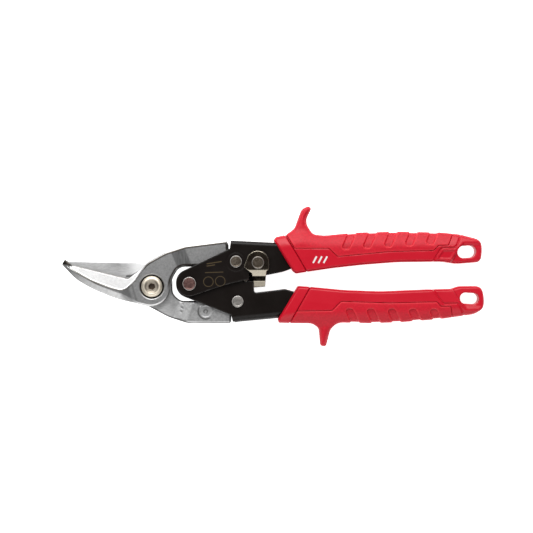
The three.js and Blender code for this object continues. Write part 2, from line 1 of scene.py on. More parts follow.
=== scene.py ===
"""Aviation snips: the visual model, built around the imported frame.

Lengths are in millimetres until a mesh is written, heights are above the blades' shear plane,
and X and Y are the frame's own. Most pieces are distance fields (negative inside) sampled on a grid.
"""
import json
import math
from functools import reduce
from types import SimpleNamespace

import bpy
import numpy as np
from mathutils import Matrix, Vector


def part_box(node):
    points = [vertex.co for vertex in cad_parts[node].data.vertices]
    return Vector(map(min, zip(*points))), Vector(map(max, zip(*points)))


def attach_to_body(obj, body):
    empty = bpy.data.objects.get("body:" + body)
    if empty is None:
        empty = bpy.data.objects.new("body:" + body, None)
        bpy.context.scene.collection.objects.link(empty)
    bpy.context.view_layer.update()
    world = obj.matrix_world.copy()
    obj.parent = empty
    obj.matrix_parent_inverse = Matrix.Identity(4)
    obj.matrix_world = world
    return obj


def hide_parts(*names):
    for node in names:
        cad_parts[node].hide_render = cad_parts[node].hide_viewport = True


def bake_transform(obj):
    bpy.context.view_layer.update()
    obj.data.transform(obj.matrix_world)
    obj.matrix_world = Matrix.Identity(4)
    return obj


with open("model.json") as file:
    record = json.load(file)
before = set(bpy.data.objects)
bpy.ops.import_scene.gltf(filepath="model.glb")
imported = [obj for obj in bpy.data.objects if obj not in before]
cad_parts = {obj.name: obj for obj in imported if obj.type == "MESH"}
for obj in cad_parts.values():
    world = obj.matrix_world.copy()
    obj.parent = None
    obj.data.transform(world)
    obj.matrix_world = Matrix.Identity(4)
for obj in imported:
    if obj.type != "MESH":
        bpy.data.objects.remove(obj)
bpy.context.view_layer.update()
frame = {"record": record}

MM = 0.001
JOINTS = {joint["name"]: joint for joint in frame["record"]["behaviour"]["joints"]}
SHEAR = JOINTS["main_pivot"]["pos_m"][2] / MM  # the shear plane's height


def pivot(name):
    """A joint's place on the plane."""
    x, y, _ = JOINTS[name]["pos_m"]
    return x / MM, y / MM


def middle(node):
    """The middle of a CAD node on the plane."""
    low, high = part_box(node)
    return (low.x + high.x) / 2 / MM, (low.y + high.y) / 2 / MM


PIVOT = (0, 0)  # the main pivot is the frame's origin
HANDLE_PIVOT = pivot("handle_pivot")
UPPER_RIVET = middle("upper_blade_rivet")
LOWER_RIVET = pivot("rear_blade_pivot")
LATCH_PIVOT = pivot("latch_pivot")
KEEPER = middle("latch_keeper")

# ---- Driving dimensions ----
FLOOR = -SHEAR  # the rest plane
GAP = 0.3  # running gap between pieces
BLADE_FACE = 5.0  # outer face of a blade at the boss
BLADE_NEAR = 0.15  # its shear face
TAIL_HALF = 2.4
TAIL_LOBE = 7.0
JOGGLE_ANGLE = math.radians(22.4)
JOGGLE_START = 18.9
JOGGLE_END = 27.4
SCOOP_WALL = 0.6  # width of the curved wall round the hollow grind
COUNTERBORE = 7.4
COUNTERBORE_FLOOR = 3.0
SLEEVE_RADIUS = 4.6
HANDLE_SHANK = 2.9
BLADE_SHANK = 2.6
LATCH_SHANK = 2.2
KEEPER_SHANK = 1.05
OPEN_PIVOT_CLEARANCE = 0.5
SHEET = 2.0
UPPER_HALF = 7.6
UPPER_BEND = 2.4
LOWER_HALF = 5.3
LOWER_BEND = 4.6
TANG_HALF = 4.6
NARROW_START = 75.0
NARROW_END = 88.0
GRIP_HALF = 9.0
GRIP_END_HALF = 7.0
GRIP_TAPER_START = 112.0
GRIP_END = 204.0
TANG_END = 164.0
FAR = 99.0  # beyond every wall

FINE_STEP = 0.3  # grid steps
GRIP_STEP = 0.36
SMALL_STEP = 0.16

# ---- Outlines: corners x, y, radius ----
FRONT_BLADE = [
    (-53.5, 16.6, 0.4), (-55.7, 13.5, 1), (-46.6, 4.4, 25), (-36.4, -1.5, 45), (-22, -7.5, 60),
    (9, -14.6, 11.8), (12.1, 4.6, 13), (16.4, 12, 6), (30, 12.3, 4), (44.5, 8.3, 6),
    (58.5, 8.3, TAIL_LOBE), (58.5, 22.3, TAIL_LOBE), (46.8, 22.6, 0.5), (46.8, 25.6, 1.2),
    (45.6, 28.2, 1.2), (20, 25, 14), (8, 21, 22), (-3, 14.9, 12), (-8.2, 9.4, 10),
    (-15, 4.6, 2), (-49.3, 13, 2),
]
REAR_BLADE = [
    (-52.4, 16.3, 0.6), (-53.9, 12.8, 0.8), (-14.2, 3.4, 2), (-13, -8, 6), (-2, -12.4, 4),
    (10, -18.8, 24), (21.5, -22.4, 12), (48.2, -22.6, 1.4), (48.6, -17, 0.6),
    (59.5, -16.1, TAIL_LOBE), (59.5, -2.1, TAIL_LOBE), (46, -4, 10), (27, -8.8, 4),
    (17, -9, 6), (12.2, -4.5, 6), (11.8, 11.8, 11), (-4, 14.2, 12), (-12, 15.4, 30),
]
SCOOP = [
    (-52.8, 13.2, 0.4), (-50.5, 11.2, 3), (-38, 3.9, 40), (-27.5, 0, 40), (-17.5, -3, 7),
    (-10.6, 3.1, 14), (-5.7, 10.5, 12), (-3.4, 14.6, 0), (-14, 24, 0), (-46, 24, 0), (-48.9, 13.3, 0),
]
UPPER_PLATES = [
    (14.9, 7.6, 8.1), (14.9, -9, 8.1), (46, 1.4, 60), (70.5, 7, 40), (80, 8.9, 20), (88, 11.8, 4),
    (92, 14.6, 3), (TANG_END, 18, 3), (TANG_END, 34, 0), (49, 34, 0), (47.7, 23.2, 0.4),
]
UPPER_SPINE = [  # everything below the upper channel's folded edge
    (-60, 26, 0), (-60, -90, 0), (260, -90, 0), (260, 25.9, 0), (90, 26.2, 20), (74.5, 26.9, 20),
    (48.3, 28.2, 0), (40, 28.2, 0),
]
LOWER_PLATES = [
    (14.8, 10.6, 8.3), (14.8, -4.3, 8.3), (48.5, -17.3, 0.6), (51, -28.7, 0),
    (TANG_END, -28.7, 0), (TANG_END, -7.6, 3), (94, -5.8, 4), (87.6, -3.3, 4), (81.4, -1.5, 6),
    (76, -2.3, 16), (62.6, -3.9, 1.2), (61.8, 6.2, 0.8), (50, 8, 8),
]
LATCH_NOTCH = [(59.3, 3.4, 0.3), (66, 3.4, 0), (66, 12, 0), (59.3, 12, 0)]
LOWER_SPINE = [
    (-60, 90, 0), (-60, -22.3, 0), (49.6, -22.3, 0), (53, -21.7, 6), (77.5, -19.4, 40), (90, -18.5, 10),
    (260, -11.8, 0), (260, 90, 0),
]
LATCH_WINDOW = [
    (59.4, -9, 0), (70.6, -9, 0), (70.6, 8.7, 0.6), (66.6, 7.75, 2), (62.6, 8.1, 2), (59.4, 9.4, 0.6),
]
UPPER_RELIEF = [(45, 24.6, 0), (49.4, 24.6, 0), (49.4, 30, 0), (45, 30, 0)]
LOWER_RELIEF = [(45, -25, 0), (50.6, -25, 0), (50.6, -19.4, 0), (45, -19.4, 0)]
LATCH = [
    (59.8, 21.8, 6.9), (56.3, 11.9, 0.5), (60, 8.9, 1), (61.2, 8, 0.8), (61.9, 1.1, 0.4),
    (59.2, 0.9, 0.3), (59.2, -0.9, 0.3), (69.2, -0.1, 0.4), (70.1, 9.4, 0.8), (71.6, 10.8, 1.2),
    (71.7, 21.8, 6.9),
]
LATCH_SECTION = [  # y, height, radius
    (40, 8.8, 0), (9, 8.7, 2), (6.6, 7.6, 1.4), (4.3, 1.5, 1.2), (-5, -0.6, 0), (-5, 0.7, 0),
    (3.5, 2.8, 0.7), (6.4, 8.9, 1.4), (10.4, 10.1, 3), (40, 10.1, 0),
]
LATCH_FACE = 10.1

ARC_STEP = math.radians(7)


def outline(corners):
    """The points of a closed outline whose corners are rounded by arcs."""
    spots = np.array([corner[:2] for corner in corners], float)
    before = np.roll(spots, 1, 0) - spots
    after = np.roll(spots, -1, 0) - spots
    back_length = np.linalg.norm(before, axis=1)
    ahead_length = np.linalg.norm(after, axis=1)
    back = before / back_length[:, None]
    ahead = after / ahead_length[:, None]
    turn = math.pi - np.arccos(np.clip((back * ahead).sum(1), -1, 1))
    reach = np.array([corner[2] for corner in corners]) * np.tan(turn / 2)
    room_back = back_length / np.maximum(reach + np.roll(reach, 1), 1e-9)
    room_ahead = ahead_length / np.maximum(reach + np.roll(reach, -1), 1e-9)
    reach *= np.minimum(1, 0.999 * np.minimum(room_back, room_ahead))
    points = []
    for spot, b, a, angle, length in zip(spots, back, ahead, turn, reach):
        if length < 0.01 or angle < 0.02:
            points.append(spot)
            continue
        radius = length / math.tan(angle / 2)
        inward = (a + b) / np.linalg.norm(a + b)
        centre = spot + inward * radius / math.cos(angle / 2)
        spoke = spot + b * length - centre
        toward = spot - centre
        sweep = math.copysign(angle, spoke[0] * toward[1] - spoke[1] * toward[0])
        steps = max(1, math.ceil(angle / ARC_STEP))
        for share in np.linspace(0, 1, steps + 1):
            c, s = math.cos(sweep * share), math.sin(sweep * share)
            points.append(centre + (c * spoke[0] - s * spoke[1], s * spoke[0] + c * spoke[1]))
    points = np.array(points)
    apart = np.linalg.norm(points - np.roll(points, 1, 0), axis=1)
    return points[apart > 1e-3]


# ---- Distance fields ----
def squared_distance(start, end, x, y):
    """Squared distance from each (x, y) to a straight line between two points."""
    ex, ey = end - start
    along = np.clip(((x - start[0]) * ex + (y - start[1]) * ey) / (ex * ex + ey * ey), 0, 1)
    return (x - start[0] - along * ex) ** 2 + (y - start[1] - along * ey) ** 2


def inside_of(points, x, y):
    """Signed distance from each (x, y) to a closed outline, negative inside."""
    nearest = np.full(np.broadcast(x, y).shape, np.inf)
    inside = np.zeros(nearest.shape, bool)
    for a, b in zip(points, np.roll(points, -1, 0)):
        nearest = np.minimum(nearest, squared_distance(a, b, x, y))
        across, up = b - a
        if up:
            inside ^= ((a[1] > y) != (b[1] > y)) & (x < a[0] + (y - a[1]) * across / up)
    return np.where(inside, -1, 1) * np.sqrt(nearest)


def near_line(points, x, y):
    """Distance from each (x, y) to an open line of points."""
    points = np.array(points)
    spans = zip(points[:-1], points[1:])
    return np.sqrt(np.minimum.reduce([squared_distance(a, b, x, y) for a, b in spans]))


def both(a, b, radius):
    """The overlap of two fields, with its edge rounded."""
    rounding = np.hypot(np.maximum(a + radius, 0), np.maximum(b + radius, 0))
    return np.minimum(np.maximum(a, b), -radius) + rounding


def ramp(low, high, value):
    """0 below low, 1 above high, straight between."""
    return np.clip((value - low) / (high - low), 0, 1)


def smooth(low, high, value):
    """0 at low and 1 at high, easing out of both; low may be the larger one."""
    share = ramp(low, high, value)
    return share * share * (3 - 2 * share)


class Grid:
    """Sample places around a box of millimetres: x and y on the plane, and height z."""

    def __init__(self, low, high, step):
        self.step = step
        self.low = np.array(low, float) - 2 * step
        counts = np.ceil((np.array(high) + 2 * step - self.low) / step).astype(int) + 1
        x, y, z = (self.low[axis] + step * np.arange(counts[axis]) for axis in range(3))
        self.x = x[:, None]
        self.y = y[None, :]
        self.z = z[None, None, :]

    def flat(self, corners):
        """The field of an outline on the plane."""
        return inside_of(outline(corners), self.x, self.y)

    def disc(self, place, radius):
        """The field of a round on the plane."""
        return np.hypot(self.x - place[0], self.y - place[1]) - radius

    def sample(self, mask, vertices):
        """A plane field's value at each vertex."""
        place = (vertices[:, :2] - self.low[:2]) / self.step
        cell = np.clip(place.astype(int), 0, np.array(mask.shape) - 2)
        u, v = (place - cell).T
        i, j = cell.T
        low = mask[i, j] * (1 - v) + mask[i, j + 1] * v
        high = mask[i + 1, j] * (1 - v) + mask[i + 1, j + 1] * v
        return low * (1 - u) + high * u


def drilled(grid, solid, holes, rounding):
    """A solid with round holes cut in it, each a place, a radius and the height where it starts."""
    for place, radius, low in holes:
        hole = np.maximum(grid.disc(place, radius)[..., None], low - grid.z)
        solid = both(solid, -hole, rounding)
    return solid


def slab(grid, edge, bottom, top, bottom_rounding, top_rounding):
    """What lies inside an outline's field and between two fields of heights."""
    solid = both(edge[..., None], grid.z - top[..., None], top_rounding)
    return both(solid, bottom[..., None] - grid.z, bottom_rounding)


# ---- Meshes ----
CORNERS = np.array([(i, j, k) for i in (0, 1) for j in (0, 1) for k in (0, 1)])
EDGES = [(a, b) for a in range(8) for b in range(a + 1, 8) if abs(CORNERS[a] - CORNERS[b]).sum() == 1]


def skin(field, grid):
    """Vertices and faces of the surface where a field is zero: one vertex a cell, one face a crossed edge."""
    solid = field < 0
    sizes = np.array(field.shape) - 1
    count = sum(
        solid[i:sizes[0] + i, j:sizes[1] + j, k:sizes[2] + k].astype(np.int8) for i, j, k in CORNERS
    )
    cells = np.argwhere((count > 0) & (count < 8))
    number = np.full(sizes, -1, np.int32)
    number[tuple(cells.T)] = np.arange(len(cells))
    values = np.stack([field[tuple((cells + corner).T)] for corner in CORNERS], 1)
    total = np.zeros((len(cells), 3))
    crossed = np.zeros(len(cells))
    for a, b in EDGES:
        va, vb = values[:, a], values[:, b]
        hit = (va < 0) != (vb < 0)
        share = np.where(hit, va / np.where(hit, va - vb, 1), 0)
        total += hit[:, None] * (CORNERS[a] + share[:, None] * (CORNERS[b] - CORNERS[a]))
        crossed += hit
    vertices = grid.low + grid.step * (cells + total / crossed[:, None])
    faces = []
    for axis in range(3):
        other, third = (axis + 1) % 3, (axis + 2) % 3
        first = np.take(solid, np.arange(sizes[axis]), axis)
        second = np.take(solid, np.arange(1, sizes[axis] + 1), axis)
        edges = np.argwhere(first != second)
        edges = edges[(edges[:, other] > 0) & (edges[:, third] > 0)]
        edges = edges[(edges[:, other] < sizes[other]) & (edges[:, third] < sizes[third])]
        ring = []
        for back_other, back_third in ((1, 1), (0, 1), (0, 0), (1, 0)):
            cell = edges.copy()
            cell[:, other] -= back_other
            cell[:, third] -= back_third
            ring.append(number[tuple(cell.T)])
        quad = np.stack(ring, 1)
        outward = first[tuple(edges.T)]
        faces.append(np.where(outward[:, None], quad, quad[:, ::-1]))
    return vertices, np.concatenate(faces)


def relax(vertices, faces, rounds, weight):
    """Evens out the vertices, so that edges that cross the grid run straight."""
    pairs = np.concatenate([faces, np.roll(faces, -1, 1)], 0).reshape(2, -1)
    start = np.concatenate([pairs[0], pairs[1]])
    finish = np.concatenate([pairs[1], pairs[0]])
    degree = np.bincount(start, minlength=len(vertices))[:, None]
    for step in range(2 * rounds):
        mean = np.stack([
            np.bincount(start, vertices[finish, axis], len(vertices)) for axis in range(3)
        ], 1) / degree
        amount = weight if step % 2 == 0 else -weight * 1.03
        vertices = vertices + amount * (mean - vertices)
    return vertices


def new_mesh(name, vertices, faces):
    """A mesh object from vertices in millimetres, heights from the shear plane."""
    mesh = bpy.data.meshes.new(name)
    place = (np.asarray(vertices) + (0, 0, SHEAR)) * MM
    mesh.vertices.add(len(place))
    mesh.vertices.foreach_set("co", place.astype(np.float32).ravel())
    sizes = np.array([len(face) for face in faces])
    mesh.loops.add(int(sizes.sum()))
    mesh.loops.foreach_set("vertex_index", np.concatenate(faces).astype(np.int32))
    mesh.polygons.add(len(faces))
    mesh.polygons.foreach_set("loop_start", (np.cumsum(sizes) - sizes).astype(np.int32))
    mesh.polygons.foreach_set("use_smooth", np.ones(len(faces), bool))
    mesh.update(calc_edges=True)
    mesh.validate()
    piece = bpy.data.objects.new(name, mesh)
    bpy.context.collection.objects.link(piece)
    return piece


def attach(piece, body, material, node):
    """Hangs a piece on its body, in the place of a CAD node, with a material."""
    piece.data.materials.append(material)
    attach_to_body(piece, body)
    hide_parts(node)


def keep(piece, key, values):
    """Keeps a value at each vertex as a point attribute for the piece's material."""
    attribute = piece.data.attributes.new(key, "FLOAT", "POINT")
    attribute.data.foreach_set("value", np.asarray(values, np.float32))


def ring_faces(number):
    """The quads between rows of vertex numbers, each row a closed ring."""
    beside = np.roll(number, -1, 1)
    return list(np.stack([number[:-1], beside[:-1], beside[1:], number[1:]], 2).reshape(-1, 4))


def moulded(name, field, grid, masks=None, rounds=2):
    """A piece from a field, with plane fields kept as point attributes for its material."""
    vertices, faces = skin(field, grid)
    vertices = relax(vertices, faces, rounds, 0.5)
    piece = new_mesh(name, vertices, faces)
    for key, mask in (masks or {}).items():
        keep(piece, key, mask(vertices) if callable(mask) else grid.sample(mask, vertices))
    return piece


# ---- Materials ----
INK_EDGE = 0.05  # how softly a printed bar ends
PLATE_BARS = [  # x, y, half length, half width, tilt in degrees
    (38.2, 14.6, 4.6, 0.28, 9), (36.2, 12.9, 2.6, 0.28, 9), (38.2, 8.7, 5.6, 0.22, 2),
]
PLATE_RINGS = [(34.7, 3.0), (41.9, 3.3)]
PLATE_RING_RADIUS = 2.95
PLATE_RING_LINE = 0.2
GRIP_BARS = [(x, 16.4, 2.3, 0.5, 62) for x in (99.5, 102.7, 105.9)]


class Nodes:
    """A material's node tree, built from short calls."""

    def __init__(self, name, metallic, roughness, specular=0.5):
        self.material = bpy.data.materials.new(name)
        self.material.use_nodes = True
        self.tree = self.material.node_tree
        self.shader = self.tree.nodes["Principled BSDF"]
        self.shader.inputs["Metallic"].default_value = metallic
        self.shader.inputs["Roughness"].default_value = roughness
        self.shader.inputs["Specular IOR Level"].default_value = specular
        self.place = self.add("TexCoord", {}, "Object")

    def link(self, source, socket):
        """Gives a socket a number, a tuple or another node's output."""
        if isinstance(source, (int, float, tuple)):
            socket.default_value = source
        else:
            self.tree.links.new(source, socket)

    def add(self, kind, inputs, output, **settings):
        """The named output of a new node with these settings and inputs."""
        node = self.tree.nodes.new("ShaderNode" + kind)
        for key, value in settings.items():
            setattr(node, key, value)
        for key, source in inputs.items():
            self.link(source, node.inputs[key])
        return node.outputs[output]

    def scaled(self, scale, turn=0.0):
        """The piece's own coordinates, turned about Z and stretched."""
        return self.add("Mapping", {"Vector": self.place, "Scale": scale, "Rotation": (0, 0, turn)}, "Vector")

    def noise(self, scale, detail, rough, vector=None):
        inputs = {"Vector": vector or self.place, "Scale": scale, "Detail": detail, "Roughness": rough}
        return self.add("TexNoise", inputs, "Fac")

    def streaks(self, scale, turn=0.0, detail=3, rough=0.6):
        """Noise drawn out along one axis, in repeats per metre on each axis."""
        return self.noise(1.0, detail, rough, self.scaled(scale, turn))

    def cells(self, scale):
        return self.add("TexVoronoi", {"Vector": self.place, "Scale": scale}, "Distance")

    def mask(self, name):
        return self.add("Attribute", {}, "Fac", attribute_name=name)

    def part(self, vector, axis):
        return self.add("SeparateXYZ", {"Vector": vector}, axis)

    def spread(self, value, low, high, to_low=0.0, to_high=1.0):
        """A value's range laid over another range, clamped."""
        inputs = {"Value": value, "From Min": low, "From Max": high, "To Min": to_low, "To Max": to_high}
        return self.add("MapRange", inputs, "Result")

    def math(self, operation, a, b=0):
        return self.add("Math", {0: a, 1: b}, "Value", operation=operation)

    def fold(self, operation, values):
        """Some values joined into one by an operation."""
        return reduce(lambda a, b: self.math(operation, a, b), values)

    def mix(self, share, a, b):
        return self.add("Mix", {"Factor": share, "A": a, "B": b}, "Result", data_type="RGBA")

    def ring_mark(self, x, y, radius, half_width):
        """1 on a thin printed ring, else 0."""
        points = {0: self.scaled((1, 1, 0)), 1: (x * MM, y * MM, 0)}
        reach = self.add("VectorMath", points, "Value", operation="DISTANCE")
        away = self.math("ABSOLUTE", self.math("SUBTRACT", reach, radius * MM))
        return self.spread(away, half_width * MM * 1.15, half_width * MM * 0.85)

    def bar_mark(self, x, y, half_length, half_width, tilt):
        """1 on a printed bar, else 0."""
        frame_of_bar = {"Vector": self.place, "Location": (x * MM, y * MM, 0), "Rotation": (0, 0, tilt)}
        local = self.add("Mapping", frame_of_bar, "Vector", vector_type="TEXTURE")
        sides = []
        for axis, half in (("X", half_length), ("Y", half_width)):
            away = self.math("ABSOLUTE", self.part(local, axis))
            sides.append(self.spread(away, (half + INK_EDGE) * MM, (half - INK_EDGE) * MM))
        return self.math("MULTIPLY", *sides)

    def above(self, height_mm):
        """1 above a height in millimetres from the shear plane."""
        height = (SHEAR + height_mm) * MM
        return self.spread(self.part(self.place, "Z"), height - 1e-5, height + 1e-5)

    def bump(self, height, distance_mm, strength):
        """Raises the surface by a height of 0 to 1; calls add up."""
        inputs = {"Height": height, "Distance": distance_mm * MM, "Strength": strength}
        before = self.shader.inputs["Normal"].links
        if before:
            inputs["Normal"] = before[0].from_socket
        self.link(self.add("Bump", inputs, "Normal"), self.shader.inputs["Normal"])

    def colour(self, source):
        self.link(source, self.shader.inputs["Base Color"])

    def rough(self, *patterns):
        """Roughness as a sum of patterns, each a value, its range and the range it is laid over."""
        total = self.fold("ADD", [self.spread(*pattern) for pattern in patterns])
        self.link(total, self.shader.inputs["Roughness"])


def grey(value, warmth=0.0):
    """A grey, with more red and less blue by its warmth."""
    return (value * (1 + warmth), value, value * (1 - warmth), 1)


def ground_steel():
    """Satin ground steel with a fine grain, a little brighter where it is polished, with painted shade on its
    steps and along its corners.
    """
    n = Nodes("ground_steel", 1.0, 0.34)
    grain = n.streaks((500, 5200, 2600), math.radians(-14), 4, 0.7)
    cloud = n.noise(70, 4, 0.6)
    polish = n.mask("polish")
    speck = n.spread(n.noise(700, 4, 0.75), 0.38, 0.62)
    satin = n.mix(speck, n.mix(cloud, grey(0.39), grey(0.52)), n.mix(cloud, grey(0.51), grey(0.66)))
    # Painted shade on the steps: a darker streaked grey where the joggle and shoulder faces turn away from
    # the light.
    streak = n.streaks((900, 160, 400), JOGGLE_ANGLE)
    struck = n.mix(n.spread(streak, 0.35, 0.65), grey(0.165), grey(0.235))
    satin = n.mix(n.mask("step"), satin, struck)
    bright = n.mix(polish, satin, grey(0.95, 0.01))
    # Painted shade: a warm near-black where the mask darkens corners, lines and edges.
    n.colour(n.mix(n.mask("painted_shade"), bright, grey(0.06, 0.15)))
    n.rough((polish, 0, 1, 0.36, 0.22), (grain, 0.3, 0.7, -0.05, 0.07))
    n.bump(grain, 0.012, 0.35)
    n.bump(n.noise(1700, 3, 0.6), 0.02, 0.25)
    return n.material


def forged_steel():
    """As-forged steel: a fine pebbled skin, ground flat on the cutting part with slanted marks."""
    n = Nodes("forged_steel", 1.0, 0.42)
    pits = n.noise(1500, 5, 0.65)
    cloud = n.noise(90, 5, 0.6)
    marks = n.streaks((420, 3600, 400), math.radians(38))
    ground = n.mask("ground")
    scale = n.spread(n.noise(620, 4, 0.7), 0.35, 0.65)
    skin_colour = n.mix(scale, n.mix(cloud, grey(0.34), grey(0.48)), n.mix(cloud, grey(0.5), grey(0.66)))
    ground_colour = n.mix(n.spread(marks, 0.35, 0.65), grey(0.62), grey(0.84))
    plain = n.mix(ground, skin_colour, ground_colour)
    bright = n.mix(n.mask("polish"), plain, grey(0.8))
    # Painted shade: the mask darkens edges, marks and corners to near-black.
    n.colour(n.mix(n.mask("painted_shade"), bright, grey(0.045, 0.05)))
    n.rough((ground, 0, 1, 0.44, 0.42), (cloud, 0.3, 0.7, -0.05, 0.06))
    n.bump(n.mix(ground, pits, marks), 0.03, 0.45)
    return n.material


def plated(name, base, roughness):
    """Plate: slight waviness, wiping marks, darker and duller in patches."""
    n = Nodes(name, 1.0, roughness)
    patches = n.noise(160, 4, 0.6)
    wipes = n.streaks((2400, 300, 900), math.radians(20))
    dark = tuple(0.72 * part for part in base[:3]) + (1,)
    plate = n.mix(n.spread(patches, 0.3, 0.75), dark, base)
    # Painted shade: the mask darkens the bolt's dish and socket and parts of the latch to dark brown.
    n.colour(n.mix(n.mask("painted_shade"), plate, (0.075, 0.052, 0.038, 1)))
    n.rough((patches, 0.3, 0.7, roughness - 0.04, roughness + 0.08), (wipes, 0.3, 0.7, -0.03, 0.04))
    n.bump(n.noise(420, 2, 0.4), 0.02, 0.2)
    return n.material


def mottled_rivet(name, dark, light):
    """Upset rivet steel: mottled oxide on the head, a painted highlight on the rim."""
    n = Nodes(name, 1.0, 0.42)
    blotch = n.noise(650, 5, 0.7)
    scratch = n.streaks((900, 5200, 900), math.radians(50))
    body = n.mix(n.spread(blotch, 0.35, 0.65), dark, light)
    # Painted highlight: a pale grey ring on the head's rim.
    n.colour(n.mix(n.mask("rim"), body, grey(0.62, 0.05)))
    n.rough((blotch, 0.3, 0.7, 0.36, 0.5), (scratch, 0.3, 0.7, -0.04, 0.05))
    n.bump(blotch, 0.03, 0.4)
    n.bump(scratch, 0.012, 0.3)
    return n.material


def black_coat(name, printed=False):
    """Semi-gloss black coating on sheet steel: orange peel, faint rubbing, thin wear and a painted highlight
    on its edges.
    """
    n = Nodes(name, 0.0, 0.4, specular=0.2)
    peel = n.noise(1300, 3, 0.55)
    rub = n.noise(55, 5, 0.65)
    # Wear and painted highlight: a patchy pale grey along the plates' edges.
    wear_and_highlight = n.math("MULTIPLY", n.mask("edge"), n.spread(n.noise(240, 4, 0.7), 0.42, 0.7))
    base = n.mix(rub, (0.0032, 0.0018, 0.0012, 1), (0.0075, 0.0046, 0.0036, 1))
    coat = n.mix(wear_and_highlight, base, (0.055, 0.052, 0.05, 1))
    if printed:
        marks = [n.bar_mark(*size, math.radians(tilt)) for *size, tilt in PLATE_BARS]
        marks += [n.ring_mark(x, y, PLATE_RING_RADIUS, PLATE_RING_LINE) for x, y in PLATE_RINGS]
        ink = n.math("MULTIPLY", n.fold("MAXIMUM", marks), n.above(UPPER_HALF - 0.3))
        coat = n.mix(n.math("MULTIPLY", ink, 0.55), coat, (0.13, 0.095, 0.05, 1))
    n.colour(coat)
    n.rough((rub, 0.3, 0.7, 0.3, 0.4), (peel, 0.3, 0.7, -0.03, 0.03))
    n.bump(peel, 0.018, 0.3)
    return n.material


def hard_red(name, printed=False):
    """Satin moulded plastic: flow clouds and a fine spark-eroded skin."""
    n = Nodes(name, 0.0, 0.42, specular=0.32)
    cloud = n.noise(45, 4, 0.55)
    skin_grain = n.noise(2600, 2, 0.5)
    red = n.mix(cloud, (0.50, 0.0035, 0.016, 1), (0.58, 0.0055, 0.022, 1))
    if printed:
        bars = [n.bar_mark(*size, math.radians(tilt)) for *size, tilt in GRIP_BARS]
        ink = n.math("MULTIPLY", n.fold("MAXIMUM", bars), n.above(GRIP_HALF - 3))
        red = n.mix(ink, red, (0.78, 0.78, 0.76, 1))
    n.colour(red)
    n.rough((cloud, 0.3, 0.7, 0.32, 0.4), (skin_grain, 0.3, 0.7, -0.03, 0.04))
    n.bump(skin_grain, 0.012, 0.3)
    return n.material


def soft_red():
    """Soft overmoulded rubber: leathery fine grain, matt, paler on its lips with wear and a painted
    highlight, with painted shade in the slots' ends.
    """
    n = Nodes("soft_red_rubber", 0.0, 0.58, specular=0.3)
    cloud = n.noise(60, 5, 0.6)
    grain = n.cells(1150)
    fleck = n.spread(n.noise(850, 3, 0.7), 0.38, 0.62)
    dull = n.mix(cloud, (0.47, 0.0025, 0.014, 1), (0.54, 0.004, 0.018, 1))
    fresh = n.mix(cloud, (0.56, 0.0035, 0.018, 1), (0.64, 0.006, 0.025, 1))
    # Painted shade: a darker red in the slots' inner ends.
    red = n.mix(n.mask("slot_shade"), n.mix(fleck, dull, fresh), n.mix(fleck, (0.40, 0.002, 0.012, 1), dull))
    # Wear and painted highlight: a paler red on the slots' lips and along the seam.
    n.colour(n.mix(n.mask("wear_and_highlight"), red, (0.85, 0.05, 0.06, 1)))
    n.rough((cloud, 0.3, 0.7, 0.42, 0.52), (grain, 0.1, 0.6, -0.04, 0.05))
    n.bump(grain, 0.07, 0.5)
    n.bump(n.noise(700, 3, 0.6), 0.03, 0.25)
    return n.material


def wire_steel():
    """Drawn spring wire: fine lines, oil-darkened."""
    n = Nodes("spring_wire", 1.0, 0.34)
    lines = n.streaks((600, 600, 4200))
    n.colour(n.mix(lines, grey(0.26, 0.03), grey(0.42, 0.02)))
    n.rough((lines, 0.3, 0.7, 0.28, 0.44))
    n.bump(lines, 0.015, 0.3)
    return n.material


GROUND = ground_steel()
FORGED = forged_steel()
CHAMPAGNE = plated("champagne_plate", (0.98, 0.89, 0.74, 1), 0.46)
NICKEL = plated("nickel_plate", (0.40, 0.36, 0.29, 1), 0.18)
RED_RIVET = mottled_rivet("handle_rivet_steel", (0.11, 0.055, 0.05, 1), (0.25, 0.145, 0.13, 1))
DARK_RIVET = mottled_rivet("rivet_steel", grey(0.065, 0.25), grey(0.15, 0.2))
PALE_RIVET = mottled_rivet("pale_rivet_steel", grey(0.24, 0.07), grey(0.38, 0.06))
LATCH_RIVET = mottled_rivet("latch_rivet_steel", grey(0.05, 0.28), grey(0.125, 0.22))
BLACK = black_coat("black_coat")
PRINTED_BLACK = black_coat("black_coat_printed", printed=True)
HARD_RED = hard_red("hard_red_plastic")
PRINTED_RED = hard_red("hard_red_plastic_printed", printed=True)
SOFT_RED = soft_red()
WIRE = wire_steel()


# ---- Blades ----
def across_joggle(grid, side):
    """How far each place lies along the way across a blade's leaning joggle."""
    lean = side * JOGGLE_ANGLE
    return grid.x * math.cos(lean) + grid.y * math.sin(lean)


def blade_heights(grid, side):
    """The under and upper faces of a blade, stepped at its joggle; side is +1 in front, -1 behind."""
    share = ramp(JOGGLE_START, JOGGLE_END, across_joggle(grid, side))
    boss_half = (BLADE_FACE - BLADE_NEAR) / 2
    centre = side * (BLADE_FACE + BLADE_NEAR) / 2 * (1 - share)
    half = boss_half + (TAIL_HALF - boss_half) * share
    return centre - half, centre + half


JAW_DROP = 1.3  # how far the front jaw's face lies below the boss
SHOULDER_X = -11.8  # where that fall begins at y = 0
SHOULDER_LEAN = 0.275
SCOOP_TOP = 16.5
SCOOP_FLOOR = 0.55  # height of the hollow grind's floor at its top
SCOOP_LEAN = 0.165
CHAMFER_WIDTH = 1.15  # round the boss and the tail
JAW_CHAMFER = 2.7  # how much wider it is on the jaw
CHAMFER_SLOPE = 0.48
JAW_CHAMFER_SLOPE = 0.29
TIP = (-55.2, 14)
TIP_HEIGHT = 1.6
TIP_RISE = (0.4, 0.2)  # the tip's facet climbs this much along x and y
# Where the tip's facet gets painted shade.
TIP_SHADE = [(-56, 13.9, 0), (-53.6, 17.2, 0), (-48.4, 13.6, 0), (-50, 12.8, 0)]


